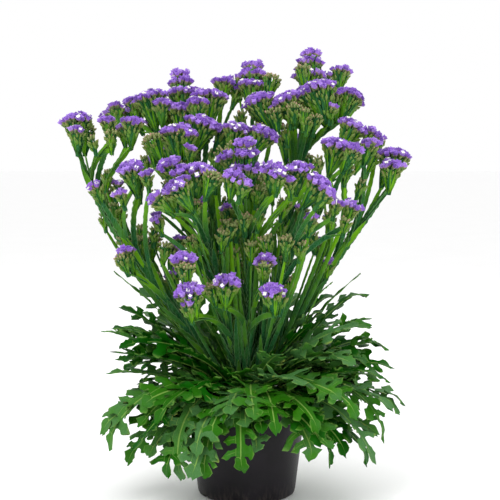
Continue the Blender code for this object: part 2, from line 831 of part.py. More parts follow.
def turned(
    name: str, profile: list[tuple[float, float]], collection: bpy.types.Collection
) -> bpy.types.Object:
    """A solid turned round Z from radii and heights in millimetres, from axis to axis and down its side."""
    bm = bmesh.new()
    verts = [bm.verts.new((radius * MM, 0, height * MM)) for radius, height in profile]
    for first, second in zip(verts, verts[1:]):
        bm.edges.new((first, second))
    mesh = bpy.data.meshes.new(name)
    bm.to_mesh(mesh)
    bm.free()
    outline = add_object("outline", mesh, collection)
    screw = outline.modifiers.new("Turn", "SCREW")
    screw.axis = "Z"
    screw.steps = TURNED_SIDES
    screw.render_steps = TURNED_SIDES
    screw.use_merge_vertices = True
    screw.merge_threshold = 0.05 * MM
    solid = add_object(name, settle(outline), collection)
    bpy.data.objects.remove(outline)
    return solid


def make_pot(material: bpy.types.Material, target: bpy.types.Collection) -> bpy.types.Object:
    """The nursery pot: a thin tapered shell with a stepped rim, and drainage notches in its foot."""
    step_height = POT_HEIGHT - POT_RIM_DEPTH
    profile = [
        (0, POT_FLOOR),
        (POT_BASE_RADIUS - POT_CHAMFER - POT_WALL / 2, POT_FLOOR),
        (POT_BASE_RADIUS - POT_WALL, POT_CHAMFER + POT_WALL),
        (POT_BODY_TOP_RADIUS - POT_WALL, step_height),
        (POT_RIM_LOWER_RADIUS - POT_WALL, step_height + 2 * POT_STEP_SLOPE),
        (POT_RIM_RADIUS - POT_WALL, POT_HEIGHT),
        (POT_RIM_RADIUS, POT_HEIGHT),
        (POT_RIM_LOWER_RADIUS, step_height + POT_STEP_SLOPE),
        (POT_BODY_TOP_RADIUS, step_height - POT_STEP_SLOPE),
        (POT_BASE_RADIUS, POT_CHAMFER),
        (POT_BASE_RADIUS - POT_CHAMFER, 0),
        (0, 0),
    ]
    shell = turned("pot_shell", profile, target)
    notches = new_collection("notches")
    length = POT_BASE_RADIUS + NOTCH_OVERRUN - NOTCH_INNER_RADIUS
    sizes = Matrix.Diagonal((length * MM, NOTCH_WIDTH * MM, 2 * NOTCH_HEIGHT * MM, 1))
    outward = Matrix.Translation(((NOTCH_INNER_RADIUS + length / 2) * MM, 0, 0))
    for index in range(NOTCH_COUNT):
        bm = bmesh.new()
        bmesh.ops.create_cube(bm, size=1, matrix=outward @ sizes)
        notch = add_object("notch", mesh_from("notch", bm), notches)
        notch.rotation_euler.z = math.radians(NOTCH_FIRST_ANGLE + index * 360 / NOTCH_COUNT)
        hide_guide(notch)
    add_boolean(shell, notches, "DIFFERENCE")
    pot = add_object("pot", settle(shell), target)
    bpy.data.objects.remove(shell)
    paint(pot, material)
    smooth(pot)
    return pot


def make_soil(material: bpy.types.Material, target: bpy.types.Collection) -> bpy.types.Object:
    """The peat that fills the pot up to a low mound, with a plain hole for the crown."""
    body_height = POT_HEIGHT - POT_RIM_DEPTH - POT_STEP_SLOPE - POT_CHAMFER
    slope = (POT_BODY_TOP_RADIUS - POT_BASE_RADIUS) / body_height
    clear_radius = POT_BASE_RADIUS - POT_WALL - 2 * GAP
    foot_radius = clear_radius + slope * (SOIL_FOOT_HEIGHT - POT_CHAMFER)
    edge_radius = clear_radius + slope * (SOIL_EDGE_HEIGHT - POT_CHAMFER)
    hole = CROWN_RADIUS + 2 * GAP
    profile = [
        (0, CROWN_BOTTOM - GAP),
        (hole, CROWN_BOTTOM - GAP),
        (hole, SOIL_MOUND_HEIGHT),
        (edge_radius, SOIL_EDGE_HEIGHT),
        (foot_radius, SOIL_FOOT_HEIGHT),
        (foot_radius - SOIL_FOOT_INSET, POT_FLOOR + GAP),
        (0, POT_FLOOR + GAP),
    ]
    soil = turned("soil", profile, target)
    paint(soil, material)
    smooth(soil)
    return soil


def main() -> None:
    """Builds the potted plant, node by node."""
    clear_scene()
    plant = new_collection("potted_statice")
    leaf_green = make_material("leaf_green", (0.09, 0.27, 0.07), 0.55)
    stem_green = make_material("stem_green", (0.07, 0.22, 0.05), 0.6)
    calyx_violet = make_material("calyx_violet", (0.27, 0.11, 0.60), 0.75)
    pot_black = make_material("pot_black", (0.02, 0.019, 0.022), 0.45)
    peat_brown = make_material("peat_brown", (0.045, 0.028, 0.018), 0.95)
    sections = (
        stem_section("leader_section", LEADER_SECTION),
        stem_section("branch_section", BRANCH_SECTION),
    )
    make_pot(pot_black, plant)
    make_soil(peat_brown, plant)
    make_rosette(leaf_green, plant)
    for name, shoot in SHOOTS.items():
        make_stem("stem_" + name, shoot, sections, stem_green, plant)
        for number, head in enumerate(shoot.heads, start=1):
            make_crest(f"crest_{name}_{number}", head, calyx_violet, plant)


main()
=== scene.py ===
"""Dresses the potted statice: pot, peat, lobed leaves, winged stems and violet flower heads.

The solids of the model are the frame. Each one is replaced by a finer piece that grows along the same
lines. Sizes in the tables are in millimetres, and everything built is in metres.
"""

from __future__ import annotations

import json
import logging
import math
import random
from collections.abc import Callable, Iterable
from dataclasses import dataclass, field
from enum import Enum

import bmesh
import bpy
from mathutils import Matrix, Vector, noise

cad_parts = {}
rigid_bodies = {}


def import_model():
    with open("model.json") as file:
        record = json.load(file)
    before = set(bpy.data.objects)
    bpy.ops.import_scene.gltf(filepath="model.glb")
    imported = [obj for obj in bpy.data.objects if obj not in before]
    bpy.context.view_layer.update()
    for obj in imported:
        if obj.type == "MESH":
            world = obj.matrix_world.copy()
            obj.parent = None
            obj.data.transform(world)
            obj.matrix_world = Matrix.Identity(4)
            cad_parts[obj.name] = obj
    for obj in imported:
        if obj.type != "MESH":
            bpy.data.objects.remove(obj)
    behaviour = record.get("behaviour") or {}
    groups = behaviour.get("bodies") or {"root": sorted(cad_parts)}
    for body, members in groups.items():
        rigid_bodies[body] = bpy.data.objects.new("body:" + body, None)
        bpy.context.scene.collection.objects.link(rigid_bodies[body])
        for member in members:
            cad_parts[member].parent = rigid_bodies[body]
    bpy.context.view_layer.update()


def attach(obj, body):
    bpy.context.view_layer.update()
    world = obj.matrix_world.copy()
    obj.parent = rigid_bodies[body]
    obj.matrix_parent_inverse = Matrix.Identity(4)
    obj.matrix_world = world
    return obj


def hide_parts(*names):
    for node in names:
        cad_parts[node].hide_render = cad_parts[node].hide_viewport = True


LOG = logging.getLogger("statice")
MM = 0.001
BODY = "root"
SHARP_ANGLE = 55
CREST_HEIGHT = 10 * MM
UP = Vector((0, 0, 1))

# The box in millimetres that side heads are kept in: low x and y, then high x, y and z
LIMITS = ((-279.0, -180.0), (246.0, 229.0, 660.0))

Colour = tuple[float, float, float]
Row = tuple[Vector, Vector, Vector, Vector]
Form = tuple[tuple[float, float], ...]
Finishes = dict[str, bpy.types.Material]
Inputs = dict[str | int, object]
Along = Callable[[float], float]

# Sockets that share a name with others of their node and are found by number
MIX_FACTOR, MIX_FIRST, MIX_SECOND, MIX_COLOUR = 0, 6, 7, 2
FLOAT_MAX, FLOAT_VALUE = 3, 1


@dataclass(frozen=True)
class Head:
    """A flower head: the place of its top centre, its width, its lean to +X and its middle's rise."""

    x: float
    y: float
    z: float
    width: float
    lean: float = 0.0
    rise: float = 0.0

    @property
    def dome(self) -> float:
        """How far the middle stands above the edge, in metres."""
        return (self.rise or self.width * 0.155) * MM

    @property
    def fan_height(self) -> float:
        """The length of the fan of stalks below the florets, in metres."""
        return (self.width * 0.62 + 6) * MM

    @property
    def axis(self) -> Vector:
        """The way that the head faces."""
        return Vector((math.tan(math.radians(self.lean)), self.y * 0.0024, 1)).normalized()

    @property
    def height(self) -> float:
        """The height of the whole head above its root, in metres."""
        return self.fan_height + CREST_HEIGHT + self.dome

    @property
    def root(self) -> Vector:
        """Where the branch ends and the fan begins."""
        return Vector((self.x, self.y, self.z)) * MM - self.axis * self.height

    @property
    def placing(self) -> Matrix:
        """The head's own frame, which starts at its root and is shallower than it is wide."""
        return frame_along(self.axis, self.root) @ Matrix.Diagonal((1, 0.76, 1, 1))

    def fitted(self) -> Head:
        """Keeps the head inside the plant's box.

        Returns:
            The same head, moved in where it would stand outside.
        """
        low, high = LIMITS
        half = self.width * 0.55 + 2
        x = min(max(self.x, low[0] + half), high[0] - half)
        y = min(max(self.y, low[1] + half * 0.8), high[1] - half * 0.8)
        return Head(x, y, min(self.z, high[2]), self.width, self.lean, self.rise)


@dataclass(frozen=True)
class Shoot:
    """A flowering stem: its leader runs to the first head, and its branches carry the others.

    The full heads are the model's own. Sprigs are small violet heads, and buds are green clusters.
    """

    foot_angle: float
    foot_radius: float
    knee: tuple[float, float]
    heads: tuple[Head, ...]
    sprigs: tuple[Head, ...] = ()
    buds: tuple[Head, ...] = ()
    twigs: int = 12
    foot_height: float = 143.0
    foot_length: float = 13.0
    lowest_fork: float = 0.26
    highest_fork: float = 0.82
    head_clearance: float = 62.0

    @property
    def foot(self) -> Vector:
        """Where the stem stands in the crown."""
        angle = math.radians(self.foot_angle)
        place = self.foot_radius * math.cos(angle), self.foot_radius * math.sin(angle), self.foot_height
        return Vector(place) * MM

    @property
    def foot_heading(self) -> Vector:
        """The way that the stem leaves the crown."""
        first = self.heads[0]
        return (UP + Vector((first.x, first.y, 0)) * 0.0016).normalized()

    def leader(self, share: float) -> Vector:
        """Follows the leader from its straight foot to its first head.

        Args:
            share: How far along it, from 0 to 1.

        Returns:
            The point there.
        """
        start = self.foot + self.foot_heading * self.foot_length * MM
        end = self.heads[0].root
        reach, rise = self.knee
        knee = start + (end - start) * Vector((reach, reach, rise))
        return quadratic(start, knee, end, share)

    def heading(self, share: float) -> Vector:
        """The way that the leader runs at this share of it."""
        return (self.leader(share + 0.02) - self.leader(share)).normalized()

    def fork(self, head: Head) -> float:
        """Finds where a head's branch leaves the leader, well below the head.

        Args:
            head: The head that the branch carries.

        Returns:
            The share of the leader below the fork.
        """
        run = (self.leader(1) - self.leader(0)).length
        share = 1 - 1.8 * (head.root - self.leader(1)).length / run
        share = min(max(share, self.lowest_fork), self.highest_fork)
        highest = head.root.z - self.head_clearance * MM
        while share > 0.04 and self.leader(share).z > highest:
            share -= 0.02
        return share

    def branch(self, head: Head, share: float) -> Vector:
        """Follows a head's branch from its fork outwards.

        Args:
            head: The head that it carries.
            share: How far along it, from 0 to 1.

        Returns:
            The point there.
        """
        fork = self.fork(head)
        start = self.leader(fork)
        end = head.root
        knee = start + self.heading(fork) * (end - start).length * 0.42
        return quadratic(start, knee, end, share)


@dataclass(frozen=True)
class Leaf:
    """A rosette leaf: its direction, slopes at base and tip in degrees, length, half width and kind."""

    azimuth: float
    rise: float
    fall: float
    length: float
    half_width: float
    is_lobed: bool = True
    foot_radius: float = 16.0
    foot_height: float = 131.0

    @property
    def outward(self) -> Vector:
        """The level direction in which the leaf points."""
        return ray_at(math.radians(self.azimuth))

    def midrib(self, shares: Iterable[float]) -> list[tuple[Vector, float]]:
        """Follows the midrib from the leaf's foot.

        Args:
            shares: Rising shares of its length.

        Returns:
            Its place and slope at each of them.
        """
        low, high = math.radians(self.rise), math.radians(self.fall)
        place = (self.outward * self.foot_radius + UP * (self.foot_height + self.rise * 0.25)) * MM
        last = 0.0
        found = []
        for share in shares:
            steps = max(1, round((share - last) * 60))
            for index in range(steps):
                at = last + (share - last) * (index + 0.5) / steps
                slope = low + (high - low) * at
                stride = self.length * MM * (share - last) / steps
                place = place + (self.outward * math.cos(slope) + UP * math.sin(slope)) * stride
            last = share
            found.append((place.copy(), low + (high - low) * share))
        return found


def heads_at(*rows: tuple[float, ...]) -> tuple[Head, ...]:
    """Heads from rows of their places, widths, leans and rises."""
    return tuple(Head(*row) for row in rows)


SHOOTS: dict[str, Shoot] = {
    "left_front": Shoot(
        203, 14.5, (0.52, 0.46),
        heads=heads_at(
            (-222, -62, 472, 26, -24), (-168, -92, 502, 42, -14, 9), (-178, -76, 380, 34, -20),
        ),
        sprigs=heads_at((-182, -92, 462, 16, -18), (-140, -116, 490, 20, -6)),
    ),
    "left": Shoot(
        172, 14.5, (0.90, 0.68),
        heads=heads_at(
            (-254, 4, 574, 52, -4), (-205, -14, 570, 32, -6),
            (-166, -30, 568, 38, 4), (-203, 58, 592, 34, -12),
        ),
        buds=heads_at((-228, -30, 540, 15, -14), (-140, -34, 532, 24, -8), (-152, -20, 512, 20, -10)),
    ),
    "back_left": Shoot(
        136, 14.5, (0.50, 0.46),
        heads=heads_at(
            (-103, 82, 634, 50, -4, 22), (-151, 60, 610, 58, -12), (-95, 36, 590, 52, 4),
            (-126, 188, 532, 50, -14), (-92, 170, 452, 40, -10),
        ),
        sprigs=heads_at((-178, 72, 602, 32, -12), (-150, 96, 570, 26, -10)),
        buds=heads_at(
            (-90, 10, 548, 22, -8), (-120, 46, 476, 28, -6), (-98, 30, 436, 26, -4),
            (-142, 58, 458, 26, -10), (-124, 62, 504, 24, -8),
        ),
    ),
    "centre_left": Shoot(
        228, 4.0, (0.46, 0.48),
        heads=heads_at(
            (-60, -18, 568, 58, 18), (-106, -36, 556, 54, -8, 8), (-12, -38, 558, 44, 14),
            (-55, 28, 611, 60, 4), (-34, 72, 632, 40, 6),
        ),
        sprigs=heads_at((-80, -62, 527, 17, 0), (-134, -14, 428, 24, -12), (-102, 24, 392, 24, -4)),
        buds=heads_at(
            (-30, -66, 520, 16, 4), (-116, 30, 452, 22, -8), (-34, -62, 524, 22, -4),
            (-18, -60, 532, 24, 6), (-64, -70, 498, 22, -6),
        ),
    ),
    "front_left": Shoot(
        243, 14.5, (0.40, 0.52),
        heads=heads_at(
            (-60, -130, 498, 50, 12), (-100, -152, 476, 46, -30), (-113, -108, 506, 44, -24),
            (-88, -142, 376, 42, -4), (-80, -166, 334, 46, -12),
        ),
        sprigs=heads_at((-132, -62, 423, 17, -20), (-60, -98, 432, 15, 0)),
        buds=heads_at((-72, -104, 446, 22, -8), (-106, -86, 462, 20, -14)),
    ),
    "front": Shoot(
        276, 14.5, (0.40, 0.50),
        heads=heads_at(
            (0, -112, 524, 50, 0, 26), (-18, -156, 490, 36, 6), (38, -154, 500, 42, 4),
            (72, -136, 500, 38, 4), (33, -60, 549, 42, 32), (-26, -142, 345, 44, 4),
            (32, -146, 332, 40, -8), (28, -112, 374, 32, 6, 14),
        ),
        sprigs=heads_at((-16, -70, 445, 17, 0)),
        buds=heads_at(
            (100, -98, 505, 16, 8), (18, -96, 470, 24, 8),
            (56, -100, 452, 24, 12), (-6, -100, 430, 22, -6),
        ),
    ),
    "back": Shoot(
        84, 14.5, (0.46, 0.50),
        heads=heads_at(
            (10, 72, 646, 52, 0, 22), (14, 20, 603, 54, -22), (-30, 212, 542, 52, -4),
            (72, 202, 548, 50, 8), (26, 184, 455, 42, 4),
        ),
        sprigs=heads_at((54, 48, 600, 24, 6)),
        buds=heads_at((20, 10, 560, 24, 0), (-10, 40, 580, 22, -6)),
    ),
    "right_back": Shoot(
        38, 14.5, (0.46, 0.48),
        heads=heads_at(
            (100, 80, 665, 52, 2, 26), (97, 22, 621, 72, -20), (149, 102, 652, 40, 8),
            (163, 56, 613, 48, 20), (168, 164, 538, 48, 14), (128, 152, 466, 40, 12),
        ),
        sprigs=heads_at((128, 12, 590, 20, 6)),
        buds=heads_at(
            (66, 0, 582, 18, 0), (92, -12, 570, 16, 8), (70, -6, 590, 26, -4),
            (88, -10, 582, 24, 6), (104, -6, 574, 22, 10), (58, 10, 560, 24, -6),
        ),
    ),
    "right": Shoot(
        348, 14.5, (0.42, 0.52),
        heads=heads_at(
            (222, 0, 522, 56, 8), (164, -4, 562, 48, 28),
            (184, -42, 535, 32, 18), (134, -72, 534, 50, 16),
        ),
        sprigs=heads_at((206, 48, 545, 26, 14)),
        buds=heads_at((106, -46, 512, 17, 0), (150, -50, 500, 22, 14), (172, -30, 478, 20, 18)),
        twigs=5,
    ),
    "right_front": Shoot(
        312, 14.5, (0.45, 0.50),
        heads=heads_at((108, -142, 478, 46, 36), (152, -110, 447, 30, 20)),
        sprigs=heads_at((128, -122, 450, 18, 14)),
        twigs=5,
    ),
}

LEAVES: tuple[Leaf, ...] = (
    Leaf(198, 30, -46, 230, 27), Leaf(209, 46, -78, 256, 26), Leaf(219, 28, -52, 217, 24),
    Leaf(234, 46, -108, 237, 27), Leaf(250, 36, -92, 206, 28), Leaf(264, 48, -104, 210, 24),
    Leaf(301, 36, -80, 186, 30), Leaf(318, 46, -104, 217, 26), Leaf(331, 30, -66, 235, 27),
    Leaf(343, 48, -72, 247, 26), Leaf(354, 28, -26, 232, 30), Leaf(7, 44, 0, 224, 29),
    Leaf(3, 60, 8, 217, 22), Leaf(22, 52, 30, 242, 22), Leaf(42, 46, -50, 232, 26),
    Leaf(61, 30, -46, 223, 26), Leaf(78, 50, -24, 220, 26), Leaf(95, 32, -50, 232, 27),
    Leaf(112, 48, -32, 220, 25), Leaf(128, 30, -46, 226, 27), Leaf(146, 46, -22, 222, 26),
    Leaf(159, 57, 16, 215, 23), Leaf(181, 42, 16, 232, 27), Leaf(188, 30, 0, 200, 22),
    Leaf(217, 60, 10, 150, 22), Leaf(291, 60, 16, 140, 18), Leaf(260, 56, 4, 114, 20),
    Leaf(330, 54, 8, 162, 24), Leaf(190, 54, 40, 268, 5.0, False), Leaf(12, 58, 42, 244, 6.0, False),
)


def ray_at(angle: float) -> Vector:
    """The level direction at this angle from +X, in radians."""
    return Vector((math.cos(angle), math.sin(angle), 0))


def quadratic(start: Vector, knee: Vector, end: Vector, share: float) -> Vector:
    """The point at this share of a quadratic curve."""
    rest = 1 - share
    return start * rest * rest + knee * 2 * rest * share + end * share * share


def arc(start: Vector, knee: Vector, end: Vector, steps: int) -> list[Vector]:
    """The points of a quadratic curve."""
    return [quadratic(start, knee, end, step / steps) for step in range(steps + 1)]


def square_to(vector: Vector, axis: Vector) -> Vector:
    """The part of a vector that stands at right angles to a unit axis, at unit length."""
    return (vector - axis * vector.dot(axis)).normalized()


def frame_along(direction: Vector, origin: Vector) -> Matrix:
    """Builds a frame whose +X stays near world +X.

    Args:
        direction: Where its +Z points.
        origin: Where it stands.

    Returns:
        The placement.
    """
    up = direction.normalized()
    side = square_to(Vector((1, 0, 0)), up)
    frame = Matrix((side, up.cross(side), up)).transposed().to_4x4()
    frame.translation = origin
    return frame


def resample(points: list[Vector], spacing: float) -> list[Vector]:
    """Draws the same line through evenly spaced points.

    Args:
        points: The line's points.
        spacing: About how far apart the new ones lie.

    Returns:
        The new points, with the same two ends.
    """
    lengths = [(second - first).length for first, second in zip(points, points[1:])]
    total = sum(lengths)
    count = max(2, round(total / spacing))
    result = [points[0].copy()]
    index, passed = 0, 0.0
    for step in range(1, count):
        goal = total * step / count
        while passed + lengths[index] < goal:
            passed += lengths[index]
            index += 1
        result.append(points[index].lerp(points[index + 1], (goal - passed) / lengths[index]))
    result.append(points[-1].copy())
    return result


def heading_at(line: list[Vector], index: int) -> Vector:
    """The way, not of unit length, that a line runs at one of its points."""
    return line[min(index + 1, len(line) - 1)] - line[max(index - 1, 0)]


class Skin:
    """Shells gathered into one mesh, with a few named numbers on each point."""

    def __init__(self, *names: str) -> None:
        """Starts an empty skin.

        Args:
            *names: The names of the numbers that each point carries.
        """
        self.names = names
        self.points: list[Vector] = []
        self.values: list[tuple[float, ...]] = []
        self.faces: list[tuple[int, ...]] = []

    def add(self, point: Vector, *values: float) -> int:
        """Adds a point.

        Args:
            point: Its place.
            *values: Its numbers, in the order of their names.

        Returns:
            Its index.
        """
        self.points.append(point)
        self.values.append(values)
        return len(self.points) - 1

    def loft(
        self, rings: list[list[Vector]], values: list[tuple[float, ...]], around: tuple[float, ...] = (0.0,)
    ) -> None:
        """Joins rings of points, which turn anticlockwise about the way they run, in a capped shell.

        Args:
            rings: Rings with the same number of points.
            values: The numbers of each ring, apart from the first number.
            around: The first number of the points round a ring, which repeats, and of both caps.
        """
        first = len(self.points)
        count = len(rings[0])
        for ring, numbers in zip(rings, values):
            for index, point in enumerate(ring):
                self.add(point, around[index % len(around)], *numbers)
        for row in range(len(rings) - 1):
            low = first + row * count
            for index in range(count):
                after = (index + 1) % count
                self.faces.append((low + index, low + after, low + count + after, low + count + index))
        last = first + (len(rings) - 1) * count
        for start, turn, end in ((first, -1, 0), (last, 1, -1)):
            middle = self.add(sum(rings[end], Vector()) / count, around[0], *values[end])
            for index in range(count):
                pair = (start + index, start + (index + 1) % count)
                self.faces.append((*pair[::turn], middle))

    def mesh(self, name: str, closed: bool = True) -> bpy.types.Mesh:
        """Makes a mesh of the shells, with the numbers as point attributes.

        Args:
            name: The mesh's name.
            closed: Whether the shells are closed, so that they can face outwards.

        Returns:
            The mesh.
        """
        mesh = bpy.data.meshes.new(name)
        mesh.from_pydata(self.points, [], self.faces)
        if closed:
            face_outwards(mesh)
        for index, title in enumerate(self.names):
            layer = mesh.attributes.new(title, "FLOAT", "POINT")
            layer.data.foreach_set("value", [values[index] for values in self.values])
        mesh.update()
        return mesh


def face_outwards(mesh: bpy.types.Mesh) -> None:
    """Turns the faces of closed shells outwards.

    Args:
        mesh: The shells.
    """
    bm = bmesh.new()
    bm.from_mesh(mesh)
    bmesh.ops.recalc_face_normals(bm, faces=bm.faces)
    bm.to_mesh(mesh)
    bm.free()


def add_object(name: str, mesh: bpy.types.Mesh) -> bpy.types.Object:
    """Adds an object to the scene.

    Args:
        name: Its name.
        mesh: Its mesh.

    Returns:
        The object.
    """
    obj = bpy.data.objects.new(name, mesh)
    bpy.context.scene.collection.objects.link(obj)
    return obj


def settle(obj: bpy.types.Object) -> bpy.types.Object:
    """Turns the object's evaluated shape into a plain mesh and drops its modifiers.

    Args:
        obj: The object.

    Returns:
        The same object.
    """
    graph = bpy.context.evaluated_depsgraph_get()
    mesh = bpy.data.meshes.new_from_object(obj.evaluated_get(graph))
    obj.modifiers.clear()
    obj.data = mesh
    return obj


def hand_over(
    obj: bpy.types.Object, material: bpy.types.Material, nodes: Iterable[str] = ()
) -> None:
    """Dresses a finished piece, lets it ride on the plant and reports it.

    Args:
        obj: The finished piece.
        material: Its finish.
        nodes: The solids that the piece replaces.
    """
    obj.data.materials.clear()
    obj.data.materials.append(material)
    obj.data.shade_smooth()
    obj.data.set_sharp_from_angle(angle=math.radians(SHARP_ANGLE))
    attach(obj, BODY)
    if nodes:
        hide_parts(*nodes)
    LOG.info("%s: %d faces", obj.name, len(obj.data.polygons))


class Value:
    """A shader socket that takes part in sums as a number does."""

    def __init__(self, shader: Shader, socket: bpy.types.NodeSocket) -> None:
        """Wraps the socket of a node in this shader."""
        self.shader = shader
        self.socket = socket

    def _sum(self, operation: str, first: Value | float, second: Value | float) -> Value:
        """A Math node on two values."""
        node = self.shader.node("ShaderNodeMath", {"operation": operation}, {0: first, 1: second})
        return Value(self.shader, node.outputs[0])

    def __add__(self, other: Value | float) -> Value:
        """The sum with another value."""
        return self._sum("ADD", self, other)

    def __mul__(self, other: Value | float) -> Value:
        """The product with another value."""
        return self._sum("MULTIPLY", self, other)

    def __sub__(self, other: Value | float) -> Value:
        """The difference to another value."""
        return self._sum("SUBTRACT", self, other)

    def __rsub__(self, other: float) -> Value:
        """A number less this value."""
        return self._sum("SUBTRACT", other, self)

    def __abs__(self) -> Value:
        """The value without its sign."""
        return self._sum("ABSOLUTE", self, 0.0)

    def between(self, low: float, high: float) -> Value:
        """Adds a smooth step.

        Args:
            low: Where it is still 0.
            high: Where it reaches 1.

        Returns:
            The step's value.
        """
        node = self.shader.node(
            "ShaderNodeMapRange",
            {"interpolation_type": "SMOOTHSTEP", "clamp": True},
            {"Value": self, "From Min": low, "From Max": high, "To Min": 0.0, "To Max": 1.0},
        )
        return Value(self.shader, node.outputs["Result"])


class NodeBuilder:
    """Adds nodes to a tree."""

    tree: bpy.types.NodeTree

    def node(self, kind: str, settings: dict[str, object], inputs: Inputs) -> bpy.types.Node:
        """Adds any node.

        Args:
            kind: The node's type.
            settings: Its own settings, which are set first.
            inputs: A value or a link for each named or numbered socket.

        Returns:
            The new node.
        """
        node = self.tree.nodes.new(kind)
        for name, value in settings.items():
            setattr(node, name, value)
        self.fill(node, inputs)
        return node

    def fill(self, node: bpy.types.Node, inputs: Inputs) -> None:
        """Gives a node's sockets their values or links.

        Args:
            node: The node.
            inputs: A value or a link for each named or numbered socket.
        """
        for name, value in inputs.items():
            socket = node.inputs[name]
            if isinstance(value, Value):
                value = value.socket
            if isinstance(value, bpy.types.NodeSocket):
                self.tree.links.new(value, socket)
            elif isinstance(value, tuple) and socket.type == "RGBA":
                socket.default_value = (*value, 1.0)
            else:
                socket.default_value = value


class Shader(NodeBuilder):
    """A material under construction on one Principled shader."""

    def __init__(self, name: str) -> None:
        """Starts a material.

        Args:
            name: Its name.
        """
        self.material = bpy.data.materials.new(name)
        self.material.use_nodes = True
        self.tree = self.material.node_tree
        self.main = self.tree.nodes["Principled BSDF"]
        self.coordinates = self.node("ShaderNodeTexCoord", {}, {}).outputs["Object"]

    def noise(self, scale: float, detail: float = 3.0, stretch: Colour = (1.0, 1.0, 1.0)) -> Value:
        """Adds noise over the piece.

        Args:
            scale: Its cells to the metre.
            detail: How many finer layers it has.
            stretch: How much closer its cells lie along each axis.

        Returns:
            The noise, from 0 to 1.
        """
        mapping = self.node("ShaderNodeMapping", {}, {"Vector": self.coordinates, "Scale": stretch})
        inputs = {"Vector": mapping.outputs[0], "Scale": scale, "Detail": detail}
        return Value(self, self.node("ShaderNodeTexNoise", {}, inputs).outputs["Fac"])

    def attribute(self, name: str) -> Value:
        """A number stored on the mesh."""
        return Value(self, self.node("ShaderNodeAttribute", {"attribute_name": name}, {}).outputs["Fac"])

    def height(self) -> Value:
        """The height above the floor, in metres."""
        parts = self.node("ShaderNodeSeparateXYZ", {}, {"Vector": self.coordinates})
        return Value(self, parts.outputs["Z"])

    def mix(self, factor: Value | float, first: object, second: object) -> bpy.types.NodeSocket:
        """One colour blended into another."""
        inputs = {MIX_FACTOR: factor, MIX_FIRST: first, MIX_SECOND: second}
        return self.node("ShaderNodeMix", {"data_type": "RGBA"}, inputs).outputs[MIX_COLOUR]

    def bump(self, height: Value, distance: float, strength: float = 1.0) -> bpy.types.NodeSocket:
        """A bump of this depth in metres."""
        inputs = {"Height": height, "Distance": distance, "Strength": strength}
        return self.node("ShaderNodeBump", {}, inputs).outputs["Normal"]

    def finish(self, **inputs: object) -> bpy.types.Material:
        """Sets the Principled sockets.

        Args:
            **inputs: Their values or links, by names in small letters with underlines.

        Returns:
            The finished material.
        """
        named = {name.replace("_", " "): value for name, value in inputs.items()}
        sockets = {socket.name.lower(): socket.name for socket in self.main.inputs}
        self.fill(self.main, {sockets[name]: value for name, value in named.items()})
        return self.material


@dataclass(frozen=True)
class LeafFinish:
    """Soft matt leaf green, fresher or greyer from leaf to leaf, with pale midribs, veins and edges."""

    deep: Colour = (0.004, 0.085, 0.001)
    fresh: Colour = (0.060, 0.235, 0.006)
    glaucous: Colour = (0.080, 0.190, 0.076)
    rib: Colour = (0.230, 0.400, 0.080)
    aged: Colour = (0.330, 0.290, 0.030)

    def build(self, name: str) -> bpy.types.Material:
        """The leaf material, which reads the numbers across, phase and tone.

        Args:
            name: The material's name.

        Returns:
            The material.
        """
        shader = Shader(name)
        across = abs(shader.attribute("across"))
        phase = shader.attribute("phase")
        tone = shader.attribute("tone")
        blotch = shader.noise(38, 4)
        fine = shader.noise(420, 3)
        base = shader.mix(tone.between(0.0, 0.75), self.deep, self.fresh)
        base = shader.mix((tone + blotch - 0.5).between(0.25, 0.95) * 0.8, base, self.glaucous)
        base = shader.mix((fine - 0.5) * 0.7 + 0.2, base, self.deep)
        midrib = 1 - across.between(0.02, 0.115)
        vein = (1 - phase.between(0.015, 0.07)) * (1 - across.between(0.55, 0.95)) * 0.42
        base = shader.mix(vein, base, self.rib)
        base = shader.mix(midrib * 0.85, base, self.rib)
        base = shader.mix(across.between(0.88, 1.0) * 0.38, base, self.rib)
        edge = across.between(0.90, 1.0) * blotch.between(0.54, 0.66) * tone.between(0.55, 0.9) * 0.5
        base = shader.mix(edge, base, self.aged)
        relief = fine * 0.5 + vein * 1.1 + midrib * 0.8
        return shader.finish(
            base_color=base,
            roughness=fine * 0.2 + 0.42,
            normal=shader.bump(relief, 0.0008, 0.7),
            specular_ior_level=0.07,
        )


@dataclass(frozen=True)
class StemFinish:
    """Winged stem green: blue-green with darker streaks, lime where it is young, and pale on the rims."""

    shade: Colour = (0.002, 0.058, 0.004)
    blue: Colour = (0.034, 0.148, 0.056)
    lime: Colour = (0.150, 0.390, 0.006)
    edge: Colour = (0.165, 0.300, 0.130)

    def build(self, name: str) -> bpy.types.Material:
        """The stem material, which reads the numbers rim and tone.

        Args:
            name: The material's name.

        Returns:
            The material.
        """
        shader = Shader(name)
        rim = shader.attribute("rim")
        tone = shader.attribute("tone")
        streak = shader.noise(900, 3, (1.0, 1.0, 0.06))
        patch = shader.noise(26, 2)
        # On the fans the low tone and the pale rims of the ridges are painted shade and painted light.
        base = shader.mix(streak.between(0.3, 0.7), self.shade, self.blue)
        base = shader.mix((tone + (patch - 0.5) * 0.7).between(0.14, 0.95), base, self.lime)
        base = shader.mix(rim.between(0.62, 1.0) * 0.6, base, self.edge)
        return shader.finish(
            base_color=base,
            roughness=streak * 0.2 + 0.45,
            normal=shader.bump(streak, 0.0005, 0.6),
            specular_ior_level=0.07,
        )


